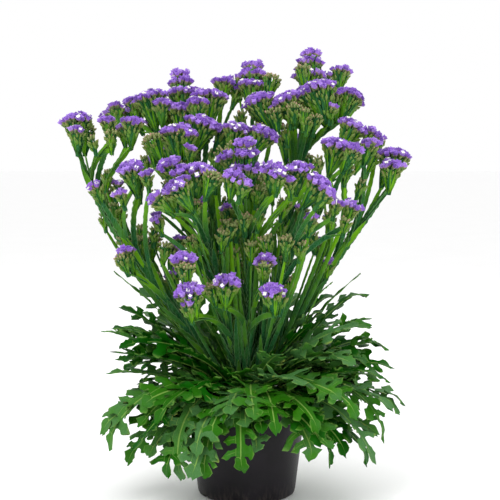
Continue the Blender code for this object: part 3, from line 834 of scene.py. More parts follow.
@dataclass(frozen=True)
class CalyxFinish:
    """A papery calyx: green bracts below, a rosy throat and a violet limb whose sunken pleats are darkened
    as painted shade.
    """

    bract: Colour = (0.100, 0.165, 0.035)
    rosy: Colour = (0.420, 0.190, 0.270)
    deep: Colour = (0.130, 0.042, 0.350)
    violet: Colour = (0.300, 0.124, 0.650)
    pale: Colour = (0.480, 0.300, 0.800)

    def build(self, name: str) -> bpy.types.Material:
        """The calyx material, which reads the numbers reach, pleat and tone.

        Args:
            name: The material's name.

        Returns:
            The material.
        """
        shader = Shader(name)
        reach = shader.attribute("reach")
        pleat = shader.attribute("pleat")
        tone = shader.attribute("tone")
        paper = shader.noise(1600, 2)
        limb = shader.mix(tone.between(0.0, 0.6), self.deep, self.violet)
        limb = shader.mix(tone.between(0.55, 1.0) * 0.75, limb, self.pale)
        # Painted shade: the sunken folds of the pleated mouth are darkened towards deep violet.
        limb = shader.mix(pleat * 0.45, limb, self.deep)
        limb = shader.mix(reach.between(0.9, 1.0) * 0.3, limb, self.pale)
        stalk = shader.mix(reach.between(0.42, 0.60) * 0.7, self.bract, self.rosy)
        base = shader.mix(reach.between(0.55, 0.67), stalk, limb)
        return shader.finish(
            base_color=base,
            roughness=paper * 0.2 + 0.62,
            normal=shader.bump(paper, 0.0003, 0.5),
            sheen_weight=0.2,
        )


@dataclass(frozen=True)
class CorollaFinish:
    """The small true flower: white, and creamy in its throat."""

    white: Colour = (0.86, 0.86, 0.80)
    cream: Colour = (0.80, 0.74, 0.36)

    def build(self, name: str) -> bpy.types.Material:
        """The corolla material, which reads the number reach.

        Args:
            name: The material's name.

        Returns:
            The material.
        """
        shader = Shader(name)
        reach = shader.attribute("reach")
        petal = shader.noise(1800, 2)
        base = shader.mix(reach.between(0.1, 0.6), self.cream, self.white)
        return shader.finish(base_color=base, roughness=petal * 0.2 + 0.45)


@dataclass(frozen=True)
class BudFinish:
    """Closed spikelets: green bracts with dry brown and rosy tips."""

    green: Colour = (0.105, 0.190, 0.040)
    olive: Colour = (0.240, 0.270, 0.085)
    tip: Colour = (0.500, 0.250, 0.210)
    flush: float = 0.0

    def build(self, name: str) -> bpy.types.Material:
        """The bud material, which reads the numbers reach and tone.

        Args:
            name: The material's name.

        Returns:
            The material.
        """
        shader = Shader(name)
        reach = shader.attribute("reach")
        tone = shader.attribute("tone")
        grain = shader.noise(1400, 3)
        base = shader.mix(grain.between(0.3, 0.7), self.green, self.olive)
        base = shader.mix(tone.between(0.2, 1.0) * self.flush, base, self.tip)
        base = shader.mix(reach.between(0.6, 1.0) * tone.between(0.1, 0.9), base, self.tip)
        return shader.finish(base_color=base, roughness=grain * 0.2 + 0.5)


@dataclass(frozen=True)
class BractFinish(BudFinish):
    """The scales below the florets: greener than the buds, with thin rosy brown tips."""

    green: Colour = (0.014, 0.110, 0.001)
    olive: Colour = (0.180, 0.350, 0.024)
    tip: Colour = (0.330, 0.250, 0.115)
    flush: float = 0.30


@dataclass(frozen=True)
class PotFinish:
    """Black nursery plastic: satin, scuffed on the rim and dusty towards the foot."""

    black: Colour = (0.0034, 0.0024, 0.0042)
    worn: Colour = (0.021, 0.016, 0.024)
    dust: Colour = (0.060, 0.046, 0.040)

    def build(self, name: str) -> bpy.types.Material:
        """The plastic of the pot.

        Args:
            name: The material's name.

        Returns:
            The material.
        """
        shader = Shader(name)
        height = shader.height()
        cloud = shader.noise(22, 4)
        scuff = shader.noise(260, 5, (1.0, 1.0, 0.25))
        grain = shader.noise(2600, 2)
        rim = height.between(0.118, 0.146)
        wear = cloud.between(0.35, 0.7) * 0.30 + rim * scuff.between(0.35, 0.6) * 0.75
        base = shader.mix(wear, self.black, self.worn)
        dust = (1 - height.between(0.0, 0.035)) * scuff.between(0.45, 0.7) * 0.5
        base = shader.mix(dust, base, self.dust)
        return shader.finish(
            base_color=base,
            roughness=cloud * 0.22 + grain * 0.1 + 0.27,
            normal=shader.bump(grain * 0.6 + scuff * 0.4, 0.0003, 0.45),
            specular_ior_level=0.23,
        )


@dataclass(frozen=True)
class PeatFinish:
    """Damp peat: dark brown crumbs with orange-brown fibres."""

    dark: Colour = (0.020, 0.012, 0.008)
    brown: Colour = (0.085, 0.042, 0.020)
    fibre: Colour = (0.300, 0.120, 0.040)

    def build(self, name: str) -> bpy.types.Material:
        """The peat material.

        Args:
            name: The material's name.

        Returns:
            The material.
        """
        shader = Shader(name)
        crumb = shader.noise(310, 6)
        clump = shader.noise(90, 4)
        strand = shader.noise(240, 4, (1.0, 0.2, 1.0))
        base = shader.mix(crumb.between(0.35, 0.65), self.dark, self.brown)
        base = shader.mix(strand.between(0.60, 0.72) * 0.7, base, self.fibre)
        return shader.finish(
            base_color=base,
            roughness=crumb * 0.2 + 0.8,
            normal=shader.bump(crumb * 0.7 + clump, 0.003, 0.9),
        )


class Opening(Enum):
    """What a place in a head bears: a bract, a closed bud, a calyx, or a calyx with its flower."""

    BRACT = "bract"
    BUD = "bud"
    CALYX = "calyx"
    FLOWER = "flower"


@dataclass(frozen=True)
class Floret:
    """One floret: where its foot stands, the way it faces, its size, its tone and how open it is."""

    place: Vector
    facing: Vector
    size: float
    tone: float
    opening: Opening


@dataclass
class Spray:
    """A flower head: spikes of florets over a dome, the ribbed fan below them, its bracts and its stalks.

    A head whose middle rises far is built in three tiers, which together make a tall crown.
    """

    head: Head
    chance: random.Random
    is_green: bool = False
    spacing: float = 3.2 * MM
    row_gap: float = 2.3 * MM
    closest: float = 2.8 * MM
    calyx_length: float = 12.5 * MM
    spike_gap: float = 14.5 * MM
    scale_gap: float = 7.2 * MM
    crown_rise: float = 18.0
    outward_tilt: float = 0.74
    edge_margin: float = 3.4 * MM
    fan_foot: float = 3.0 * MM
    fan_drop: float = 5 * MM
    fan_steps: int = 5
    scale_rows: tuple[float, ...] = (0.48, 0.66, 0.82, 1.0)
    bud_chance: float = 0.05
    flower_pick: float = 0.85
    florets: list[Floret] = field(default_factory=list)
    straps: list[list[Vector]] = field(default_factory=list)

    @property
    def half(self) -> float:
        """Half the spread of the florets, in metres."""
        return self.head.width * MM / 2 * 1.05 + 1.0 * MM

    @property
    def fan_half(self) -> float:
        """Half the spread of the fan's top, which stays inside the outermost florets, in metres."""
        return max(self.half - 10.5 * MM, self.half * 0.45)

    def tiers(self) -> list[tuple[float, float, float, float]]:
        """Splits a tall head into tiers.

        Returns:
            The inner and outer share of the radius, the height of the middle and the dome of each tier.
        """
        head = self.head
        if head.rise < self.crown_rise:
            return [(0.0, 1.0, head.height, head.dome)]
        return [
            (0.0, 0.60, head.height + 11 * MM, 11 * MM),
            (0.30, 0.84, head.height, 11 * MM),
            (0.62, 1.08, head.fan_height + 14 * MM, 7 * MM),
        ]

    def grow(self) -> None:
        """Lays out every spike of the head."""
        feet: list[Vector] = []
        for inner, outer, top, dome in self.tiers():
            around = math.tau * self.half * outer * 0.88
            count = max(3, round(around / self.spike_gap))
            turn = self.chance.uniform(0, math.pi)
            for index in range(count):
                angle = turn + math.tau * (index + self.chance.uniform(-0.14, 0.14)) / count
                self._spike(angle, inner, outer, top, dome, feet)

    def _spike(
        self, angle: float, inner: float, outer: float, top: float, dome: float, feet: list[Vector]
    ) -> None:
        """Lays out one spike and its stalk.

        Args:
            angle: Its direction, in radians.
            inner: The share of the radius where it starts.
            outer: The share where it ends, at most.
            top: The height of the head's middle.
            dome: How much lower the edge is.
            feet: Where florets stand. It adds its own.
        """
        ray = ray_at(angle)
        side = Vector((-ray.y, ray.x, 0))
        reach = outer * self.chance.uniform(0.86, 1.0)
        lift = self.chance.uniform(-1.6, 0.6) * MM
        length = self.calyx_length * (0.62 if self.is_green else 1.0)
        run = self.half - self.edge_margin
        steps = max(2, round(run * (reach - inner) / self.spacing))
        spine: list[Vector] = []
        for step in range(steps + 1):
            share = inner + (reach - inner) * step / steps
            tilt = self.outward_tilt * share ** 1.4
            mouth = ray * run * share + UP * (top + lift - dome * share * share)
            facing = (ray * math.sin(tilt) + UP * math.cos(tilt)).normalized()
            foot = mouth - facing * length
            spine.append(foot)
            for way in (-1, 1):
                if step == 0 and way == 1 and inner == 0:
                    continue
                spread = side * way * self.row_gap * self.chance.uniform(0.8, 1.15)
                along = ray * self.chance.uniform(-0.8, 0.8) * MM + ray * way * self.spacing * 0.25
                place = foot + spread + along + facing * self.chance.uniform(-2.2, 1.6) * MM
                if any((place - other).length < self.closest for other in feet):
                    continue
                feet.append(place)
                self._floret(place, facing + side * way * 0.42, share)
        start = ray * 1.8 * MM - UP * (self.chance.uniform(2, 7) * MM)
        for way in (-1, 1):
            goal = spine[-1] + side * way * 1.8 * MM + ray * 2.5 * MM + UP * MM
            middle = ray * self.half * 0.50 * outer + UP * (self.head.fan_height * 0.60)
            middle = middle + side * (self.chance.uniform(-1.5, 1.5) + way * 1.6) * MM
            self.straps.append(self._placed(arc(start, middle, goal, 8)))

    def _fan_reach(self, share: float) -> float:
        """The radius of the fan at a share of its height."""
        return self.fan_foot + (self.fan_half - self.fan_foot) * share ** 1.35

    def fan(self) -> list[list[Vector]]:
        """Shapes the ribbed body that fills the fan under the florets, whose dark finish is painted shade
        for the gaps between the stalks.

        Returns:
            Its rings of points.
        """
        sides = 2 * max(6, round(self.half / (1.9 * MM)))
        low, high = -self.fan_drop, self.head.fan_height + (1.5 if self.is_green else 3.0) * MM
        rings = []
        for step in range(self.fan_steps + 1):
            share = step / self.fan_steps
            ring = []
            for index in range(sides):
                rib = (0.12 if index % 2 else -0.20) * (1 - 0.4 * share)
                rib += self.chance.uniform(-0.05, 0.05) * share
                rise = low + (high - low) * share + self.chance.uniform(-2.0, 1.2) * MM * share * share
                ray = ray_at(math.tau * index / sides)
                ring.append(ray * self._fan_reach(share) * (1 + rib) + UP * rise)
            rings.append(self._placed(ring))
        return rings

    def scales(self) -> None:
        """Lays the bracts over the upper part of the fan."""
        placing = self.head.placing
        for share in self.scale_rows:
            reach = self._fan_reach(share)
            count = max(4, round(math.tau * reach / self.scale_gap))
            for index in range(count):
                ray = ray_at(math.tau * (index + self.chance.uniform(0, 0.8)) / count)
                height = self.head.fan_height * (share + self.chance.uniform(-0.09, 0.06)) - 3 * MM
                flare = 0.18 + 0.75 * share * share + self.chance.uniform(-0.12, 0.16)
                facing = placing.to_3x3() @ (ray * flare + UP)
                place = placing @ (ray * reach + UP * height)
                size = self.chance.uniform(0.8, 1.25)
                tone = (share - self.scale_rows[0]) * 1.3 + self.chance.uniform(-0.1, 0.35)
                tone = min(1.0, max(0.0, tone))
                self.florets.append(Floret(place, facing.normalized(), size, tone, Opening.BRACT))

    def _placed(self, points: list[Vector]) -> list[Vector]:
        """The points in the plant's frame."""
        return [self.head.placing @ point for point in points]

    def _floret(self, place: Vector, facing: Vector, share: float) -> None:
        """Adds one floret. Near the edge more of them are buds and fewer show their white flower.

        Args:
            place: Its foot, in the head's frame.
            facing: Where it points, in the same frame.
            share: How far out it stands, as a share of the radius.
        """
        pick = self.chance.random()
        opening = Opening.CALYX
        if self.is_green or pick < self.bud_chance + 0.10 * share:
            opening = Opening.BUD
        elif pick > self.flower_pick + 0.05 * share:
            opening = Opening.FLOWER
        placing = self.head.placing
        turned = (placing.to_3x3() @ facing).normalized()
        wobble = Vector([self.chance.uniform(-0.26, 0.26) for _ in range(3)])
        size = self.chance.uniform(0.86, 1.14)
        tone = self.chance.random()
        self.florets.append(Floret(placing @ place, (turned + wobble).normalized(), size, tone, opening))


class FloretScatter(NodeBuilder):
    """A node tree that stands a floret on each point, turned to the way that the point faces."""

    SOCKETS = (
        ("Geometry", "INPUT", "NodeSocketGeometry"),
        ("Floret", "INPUT", "NodeSocketObject"),
        ("Seed", "INPUT", "NodeSocketInt"),
        ("Geometry", "OUTPUT", "NodeSocketGeometry"),
    )

    def __init__(self) -> None:
        """Builds the tree once for every kind of floret."""
        self.tree = bpy.data.node_groups.new("floret_scatter", "GeometryNodeTree")
        for name, way, kind in self.SOCKETS:
            self.tree.interface.new_socket(name, in_out=way, socket_type=kind)
        given = self.node("NodeGroupInput", {}, {}).outputs
        reader = "GeometryNodeInputNamedAttribute"
        facing = self.node(reader, {"data_type": "FLOAT_VECTOR"}, {"Name": "facing"}).outputs["Attribute"]
        size = self.node(reader, {"data_type": "FLOAT"}, {"Name": "size"}).outputs["Attribute"]
        aligned = self.node("FunctionNodeAlignRotationToVector", {"axis": "Z"}, {"Vector": facing})
        turn = self.node(
            "FunctionNodeRandomValue", {"data_type": "FLOAT"}, {"Seed": given["Seed"], FLOAT_MAX: math.tau}
        )
        axes = self.node("ShaderNodeCombineXYZ", {}, {"Z": turn.outputs[FLOAT_VALUE]})
        euler = self.node("FunctionNodeEulerToRotation", {}, {"Euler": axes.outputs[0]})
        spun = self.node(
            "FunctionNodeRotateRotation",
            {"rotation_space": "LOCAL"},
            {"Rotation": aligned.outputs[0], "Rotate By": euler.outputs[0]},
        )
        shape = self.node("GeometryNodeObjectInfo", {}, {"Object": given["Floret"]})
        placed = self.node("GeometryNodeInstanceOnPoints", {}, {
            "Points": given["Geometry"],
            "Instance": shape.outputs["Geometry"],
            "Rotation": spun.outputs[0],
            "Scale": size,
        })
        real = self.node("GeometryNodeRealizeInstances", {}, {"Geometry": placed.outputs[0]})
        self.node("NodeGroupOutput", {}, {"Geometry": real.outputs[0]})

    def scatter(self, name: str, florets: list[Floret], shape: bpy.types.Object) -> bpy.types.Object:
        """Stands a copy of the shape on every floret's foot.

        Args:
            name: The piece's name.
            florets: The florets.
            shape: The form of one floret, facing +Z.

        Returns:
            One plain mesh object with every copy.
        """
        mesh = bpy.data.meshes.new(name)
        mesh.from_pydata([floret.place for floret in florets], [], [])
        facing = mesh.attributes.new("facing", "FLOAT_VECTOR", "POINT")
        facing.data.foreach_set("vector", [axis for floret in florets for axis in floret.facing])
        for title in ("size", "tone"):
            layer = mesh.attributes.new(title, "FLOAT", "POINT")
            layer.data.foreach_set("value", [getattr(floret, title) for floret in florets])
        obj = add_object(name, mesh)
        modifier = obj.modifiers.new("Florets", "NODES")
        modifier.node_group = self.tree
        given = {"Floret": shape, "Seed": len(name)}
        for item in self.tree.interface.items_tree:
            if item.name in given:
                modifier[item.identifier] = given[item.name]
        return settle(obj)


@dataclass(frozen=True)
class FloretForm:
    """One kind of floret as a closed funnel that faces +Z.

    The levels are heights, radii and reach values up its outside. The throat is the height and the
    reach of the point that closes it on top, and the pleat is how deep its mouth is folded.
    """

    name: str
    levels: tuple[tuple[float, float, float], ...]
    throat: tuple[float, float]
    pleat: float = 0.0
    sides: int = 8

    def build(self) -> bpy.types.Object:
        """The form as a hidden object of a few dozen faces.

        Returns:
            The object that the scatter copies.
        """
        skin = Skin("reach", "pleat")
        rows = []
        for height, radius, reach in self.levels:
            row = []
            for index in range(self.sides):
                angle = math.tau * index / self.sides
                fold = index % 2
                spread = radius * (1 + self.pleat * reach * (-1 if fold else 1))
                level = height - 2.7 * self.pleat * reach * fold
                point = Vector((spread * math.cos(angle), spread * math.sin(angle), level))
                # The pleat number marks the sunken folds, which the calyx finish darkens as painted shade.
                row.append(skin.add(point * MM, reach, float(fold) * reach))
            rows.append(row)
        foot = skin.add(UP * (self.levels[0][0] - 0.4) * MM, self.levels[0][2], 0.0)
        middle = skin.add(UP * self.throat[0] * MM, self.throat[1], 0.0)
        for index in range(self.sides):
            after = (index + 1) % self.sides
            skin.faces.append((rows[0][after], rows[0][index], foot))
            for low, high in zip(rows, rows[1:]):
                skin.faces.append((low[index], low[after], high[after], high[index]))
            skin.faces.append((rows[-1][index], rows[-1][after], middle))
        obj = add_object(self.name, skin.mesh(self.name))
        obj.hide_render = True
        return obj


FLORET_FORMS: dict[Opening, FloretForm] = {
    Opening.BRACT: FloretForm("bract_form", ((0.0, 1.2, 0.0), (4.6, 2.3, 0.5)), (8.2, 1.0), sides=4),
    Opening.BUD: FloretForm(
        "bud_form", ((0.0, 0.9, 0.0), (2.8, 1.9, 0.4), (5.8, 1.4, 0.8)), (7.2, 1.0), sides=6
    ),
    Opening.CALYX: FloretForm(
        "calyx_form", ((0.0, 1.0, 0.0), (4.6, 2.5, 0.38), (12.0, 3.7, 1.0)), (9.0, 0.68), pleat=0.24
    ),
    Opening.FLOWER: FloretForm("corolla_form", ((8.8, 0.8, 0.0), (12.9, 2.9, 1.0)), (11.6, 0.4), pleat=0.2),
}


@dataclass
class WingedStem:
    """Draws winged stems, fork blades and flattened stalks into one skin."""

    skin: Skin
    chance: random.Random
    core: float = 1.7 * MM
    edge: float = 0.42 * MM
    wave_length: float = 9.5 * MM
    wave_depth: float = 1.7 * MM
    wide_wing: float = 5.6 * MM
    ring_gap: float = 3.1 * MM
    slim_ring_gap: float = 5 * MM
    blade_gap: float = 3.9 * MM
    strap_gap: float = 12 * MM

    def draw(self, points: list[Vector], wings: int, reach: Along, tone: Along) -> None:
        """Draws a stem with thin, crisped wings.

        Args:
            points: The line that it follows.
            wings: How many wings it has.
            reach: The wings' reach in metres at a share of its length.
            tone: Its tone at a share of its length.
        """
        gap = self.ring_gap if reach(0.5) > self.wide_wing else self.slim_ring_gap
        line = resample(points, gap)
        offsets = [self.chance.uniform(0, math.tau) for _ in range(wings)]
        turn = self.chance.uniform(0, math.pi)
        rings, values = [], []
        for index, place in enumerate(line):
            share = index / (len(line) - 1)
            frame = frame_along(heading_at(line, index), place)
            rings.append(self._ring(frame, wings, reach(share), offsets, turn, index * gap))
            values.append((tone(share),))
        self.skin.loft(rings, values, (0.0, 0.0, 1.0, 1.0, 0.0))

    def _ring(
        self, frame: Matrix, wings: int, reach: float, offsets: list[float], turn: float, run: float
    ) -> list[Vector]:
        """Builds a section of the stem: a valley point and four wing points for each wing.

        Args:
            frame: The section's placement.
            wings: How many wings there are.
            reach: How far they reach, in metres.
            offsets: Where each wing's wave starts.
            turn: The first wing's angle, in radians.
            run: How far along the stem it is, in metres.

        Returns:
            The section's points.
        """
        core = min(self.core, reach * 0.42)
        ring = []
        for wing in range(wings):
            angle = turn + math.tau * wing / wings
            out = ray_at(angle)
            across = Vector((-out.y, out.x, 0))
            valley = ray_at(angle - math.pi / wings)
            phase = math.tau * run / self.wave_length + offsets[wing]
            swing = across * math.sin(phase) * min(self.wave_depth, max(reach - 2.6 * MM, 0.0) * 0.36)
            tip = out * reach * (1 + 0.10 * math.sin(phase * 0.63 + 1))
            middle = out * reach * 0.55 + swing * 0.25
            ring.append(frame @ (valley * core))
            ring.append(frame @ (middle - across * self.edge * 1.25))
            ring.append(frame @ (tip + swing - across * self.edge * 0.6))
            ring.append(frame @ (tip + swing + across * self.edge * 0.6))
            ring.append(frame @ (middle + across * self.edge * 1.25))
        return ring

    def blade(
        self, start: Vector, heading: Vector, outward: Vector, length: float, half: float, tone: float
    ) -> None:
        """Draws a narrow leaf-like wing with a wavy edge, which leaves a stem at a fork.

        Args:
            start: Where it starts.
            heading: Where it runs.
            outward: Where it bends to.
            length: Its length, in metres.
            half: Its half width, in metres.
            tone: Its tone.
        """
        side = heading.cross(outward).normalized()
        steps = max(8, round(length / self.blade_gap))
        offset = self.chance.uniform(0, 6)
        rings, values = [], []
        for index in range(steps + 1):
            share = index / steps
            bend = outward * length * (0.05 * share + 0.13 * share * share)
            place = start + heading * length * share + bend
            normal = (outward - heading * 0.5).normalized()
            width = max(half * math.sin(math.pi * (0.16 + 0.82 * share)) ** 0.8, 0.5 * MM)
            ruffle = min(self.wave_depth * 0.8, half * 0.2)
            wave = math.sin(share * length / self.wave_length * math.tau + offset) * ruffle
            left = side * width + normal * (wave + width * 0.25)
            right = -side * width + normal * (width * 0.25 - wave)
            thick = normal * 0.4 * MM
            rings.append([
                place - thick,
                place + left - thick * 0.6,
                place + left + thick * 0.6,
                place + thick * 1.2,
                place + right + thick * 0.6,
                place + right - thick * 0.6,
            ])
            values.append((tone,))
        self.skin.loft(rings, values, (0.0, 0.95, 0.95, 0.0, 0.95, 0.95))

    def strap(self, points: list[Vector], axis: Vector, start: float, end: float, tone: float) -> None:
        """Draws a flattened stalk of a fan, which ends darker than it starts.

        Args:
            points: Its line.
            axis: The way that the head faces.
            start: Its half width at its foot.
            end: Its half width at its top.
            tone: Its tone at its foot.
        """
        line = resample(points, self.strap_gap)
        rings, values = [], []
        for index, place in enumerate(line):
            share = index / (len(line) - 1)
            ahead = heading_at(line, index).normalized()
            out = (place - points[0]) - axis * (place - points[0]).dot(axis)
            side = ahead.cross(out if out.length > 0.2 * MM else Vector((0, 1, 0.1))).normalized()
            normal = side.cross(ahead).normalized()
            half = (start + (end - start) * share) * min(1.0, 0.28 + 2.6 * share)
            wave = math.sin(index * 1.9) * 0.25 * MM
            rings.append([
                place + side * half + normal * wave,
                place + normal * 0.62 * MM,
                place - side * half - normal * wave,
                place - normal * 0.62 * MM,
            ])
            values.append((tone * (1 - 0.35 * share),))
        self.skin.loft(rings, values, (0.55,))


@dataclass
class FlowerShoot:
    """One shoot: its winged stem with blades and fans, its violet heads, white corollas and buds."""

    name: str
    shoot: Shoot
    wing: float = 7.4 * MM
    branch_share: float = 0.72
    sprig_slimness: float = 0.66
    satellite_slimness: float = 0.7
    green_share: float = 0.4
    wide_head: float = 50
    long_twigs: int = 6
    twig_lengths: tuple[float, float] = (70, 135)
    long_twig_lengths: tuple[float, float] = (150, 250)
    twig_zone: tuple[float, float] = (0.18, 0.76)
    twig_headed: float = 0.8
    twig_green: float = 0.6
    twig_clearance: float = 34 * MM
    leader_blades: int = 6
    bud_spacing: float = 2.9 * MM
    bud_spike_gap: float = 9 * MM
    sprays: list[Spray] = field(default_factory=list)

    def __post_init__(self) -> None:
        """Seeds the shoot's own chance from its name."""
        self.chance = random.Random("statice " + self.name)

    def build(
        self, forms: dict[Opening, bpy.types.Object], scatter: FloretScatter, finishes: Finishes
    ) -> None:
        """Builds and hands over the shoot's pieces.

        Args:
            forms: The form of each kind of floret.
            scatter: The node tree that places them.
            finishes: The materials by name.
        """
        for head in self.shoot.heads + self.shoot.sprigs:
            self._grow(head, False)
        for head in self.shoot.buds:
            self._grow(head, True)
        hand_over(self._stem(), finishes["stem"], ["stem_" + self.name])
        florets = [floret for spray in self.sprays for floret in spray.florets]
        crests = [f"crest_{self.name}_{number}" for number in range(1, len(self.shoot.heads) + 1)]
        for title, kinds, finish, slot, nodes in (
            ("calyces", (Opening.CALYX, Opening.FLOWER), "calyx", "calyx_violet", crests),
            ("corollas", (Opening.FLOWER,), "corolla", "calyx_violet", []),
            ("buds", (Opening.BUD,), "bud", "stem_green", []),
            ("bracts", (Opening.BRACT,), "bract", "stem_green", []),
        ):
            chosen = [floret for floret in florets if floret.opening in kinds]
            if chosen:
                piece = scatter.scatter(f"{self.name}_{title}", chosen, forms[kinds[0]])
                hand_over(piece, finishes[finish], nodes)

    def _grow(self, head: Head, is_green: bool) -> None:
        """Lays out one head.

        Args:
            head: The head.
            is_green: Whether its florets are all buds.
        """
        spray = Spray(head, self.chance, is_green)
        if is_green:
            spray.spacing = self.bud_spacing
            spray.spike_gap = self.bud_spike_gap
        spray.grow()
        spray.scales()
        self.sprays.append(spray)

    def _stem(self) -> bpy.types.Object:
        """Builds the leader, its branches and twigs, the blades at its forks and the fans under its heads.

        Returns:
            One object with all of them.
        """
        skin = Skin("rim", "tone")
        brush = WingedStem(skin, self.chance)
        low = self.chance.uniform(0.0, 0.14)
        leader = [self.shoot.foot] + [self.shoot.leader(step / 24) for step in range(25)]
        brush.draw(leader, 3, self._leader_reach, lambda share: low + 0.3 * share)
        self._satellites(brush, self.shoot.heads[0], leader, low)
        for head in self.shoot.heads[1:] + self.shoot.sprigs + self.shoot.buds:
            is_full = head in self.shoot.heads
            line = [self.shoot.branch(head, step / 14) for step in range(15)]
            self._branch(brush, line, 1.0 if is_full else self.sprig_slimness, low)
            self._fork_blades(brush, self.shoot.fork(head), line[7])
            if is_full:
                self._satellites(brush, head, line, low)
        for index in range(self.leader_blades):
            self._leader_blade(brush, (index + self.chance.uniform(0.0, 1.0)) / self.leader_blades)
        twigs = self.shoot.twigs
        for index in range(twigs):
            self._twig(brush, (index + self.chance.uniform(0.1, 0.9)) / twigs, self.twig_lengths, low)
        for index in range(self.long_twigs):
            self._twig(brush, index / self.long_twigs * 0.25 - 0.16, self.long_twig_lengths, low)
        for spray in self.sprays:
            self._fan(brush, spray)
        return add_object(self.name + "_stem", skin.mesh(self.name + "_stem"))

    def _fan(self, brush: WingedStem, spray: Spray) -> None:
        """Draws a head's ribbed fan, whose tone, kept low as painted shade between the stalks, falls
        further upwards, and the stalks round it.

        Args:
            brush: What draws the stem.
            spray: The head's layout.
        """
        fan = spray.fan()
        painted_shade_tone = self.chance.uniform(0.05, 0.35)
        # Painted shade: the body's low tone stands in for the shade between the stalks, and its ridges get
        # a paler rim than its valleys, painted light on the ribs.
        brush.skin.loft(fan, [(painted_shade_tone * (1 - 0.17 * step),) for step in range(len(fan))], (0.0, 0.80))
        half = (1.6 if spray.is_green else 2.5) * MM
        for points in spray.straps:
            brush.strap(points, spray.head.axis, half, half * 0.62, self.chance.uniform(0.1, 0.95))

    def _branch(self, brush: WingedStem, line: list[Vector], slim: float, low: float) -> None:
        """Draws a winged branch along a line.

        Args:
            brush: What draws the stem.
            line: The branch's line.
            slim: Its width as a share of a full head's branch.
            low: The tone at its foot.
        """
        reach = self.wing * self.branch_share * slim
        tone = self.chance.uniform(0.1, 0.75)
        brush.draw(
            line,
            3 if slim == 1.0 else 2,
            lambda share: reach * min(1.0, 0.55 + 3 * share) * (1 - 0.1 * share) * self._narrowing(share),
            lambda share: low + (tone - low + 0.25) * share,
        )

    def _satellites(self, brush: WingedStem, head: Head, line: list[Vector], low: float) -> None:
        """Adds the smaller heads that fork off just below a full one.

        Args:
            brush: What draws the stem.
            head: The full head.
            line: The line that it stands on.
            low: The tone at their feet.
        """
        count = 2 if head.width > self.wide_head else 1
        turn = self.chance.uniform(0, math.tau)
        for index in range(count):
            angle = turn + index * math.pi * self.chance.uniform(0.7, 1.3)
            width = head.width * self.chance.uniform(0.55, 0.78)
            away = (head.width + width) * 0.40
            ray = Vector((math.cos(angle), 0.8 * math.sin(angle), 0))
            place = Vector((head.x, head.y, head.z - self.chance.uniform(8, 22))) + ray * away
            small = Head(place.x, place.y, place.z, width, head.lean + 16 * ray.x).fitted()
            self._grow(small, self.chance.random() < self.green_share)
            start = line[int(len(line) * 0.72)]
            heading = (line[-1] - start).normalized()
            knee = start + heading * (small.root - start).length * 0.5
            self._branch(brush, arc(start, knee, small.root, 8), self.satellite_slimness, low)

    def _twig(self, brush: WingedStem, share: float, lengths: tuple[float, float], low: float) -> None:
        """Adds a slim side twig with a green cluster, a small violet head or only blades on it.

        A twig whose end would stand outside the plant or above its neighbours is left out.

        Args:
            brush: What draws the stem.
            share: Where it leaves the leader, as a share of the zone for twigs.
            lengths: Its least and greatest length, in millimetres.
            low: The tone at its foot.
        """
        lowest, run = self.twig_zone
        share = lowest + run * share
        start = self.shoot.leader(share)
        heading = self.shoot.heading(share)
        angle = self.chance.uniform(0, math.tau)
        aside = Vector((math.cos(angle), math.sin(angle), 0.1))
        if aside.x * start.x > 0 and abs(start.x) > 0.07:
            aside.x *= -0.6
        length = self.chance.uniform(*lengths) * MM
        spread = 0.45 if length < 0.14 else 0.26
        knee = start + (heading + aside * spread).normalized() * length * 0.5
        end = knee + (heading + aside * spread * 0.3 + UP * 0.35).normalized() * length * 0.5
        pick = self.chance.random()
        width = self.chance.uniform(17, 27)
        lean = math.degrees(math.atan2(aside.x * 0.2, 1))
        spot = Head(end.x / MM, end.y / MM, end.z / MM, width, lean)
        top = end + spot.axis * spot.height
        spot = Head(top.x / MM, top.y / MM, top.z / MM, width, lean)
        ceiling = self.shoot.heads[0].z * MM - self.twig_clearance - abs(top.x) * 0.16
        if spot.fitted() != spot or top.z > ceiling:
            return
        if pick < self.twig_headed:
            self._grow(spot, pick < self.twig_green)
        self._branch(brush, arc(start, knee, end, 10), self.sprig_slimness, low)
        self._fork_blades(brush, share, knee)

    def _leader_reach(self, share: float) -> float:
        """Shapes the wings along the leader, which starts as a plain round foot.

        Args:
            share: How far along the leader.

        Returns:
            The wings' reach there, in metres.
        """
        rise = min(1.0, max(0.0, share * 14 - 0.5))
        taper = 1 + (self.branch_share - 1) * share
        return self.wing * (0.42 + 0.58 * rise) * taper * self._narrowing(share)

    @staticmethod
    def _narrowing(share: float) -> float:
        """How much of a wing is left at a share of its stem, because it runs out where the fan starts."""
        return 1 - 0.45 * max(0.0, (share - 0.86) / 0.14) ** 1.5

    def _leader_blade(self, brush: WingedStem, share: float) -> None:
        """Adds a long narrow blade that stands close along the leader.

        Args:
            brush: What draws the stem.
            share: Where it starts, as a share of the leader's lower part.
        """
        share = 0.03 + 0.5 * share
        start = self.shoot.leader(share)
        heading = self.shoot.heading(share)
        aside = ray_at(self.chance.uniform(0, math.tau))
        if aside.x * start.x > 0:
            aside.x *= -0.6
        aside = square_to(aside, heading)
        lift = (heading + aside * self.chance.uniform(0.04, 0.16)).normalized()
        side = square_to(aside, lift)
        length = min(self.chance.uniform(60, 115) * MM, (self.shoot.heads[0].root.z - start.z) * 0.75)
        half = self.chance.uniform(3.0, 4.8) * MM
        tone = share * 0.8 + self.chance.uniform(-0.1, 0.4)
        brush.blade(start + side * 2 * MM, lift, side, max(length, 20 * MM), half, tone)

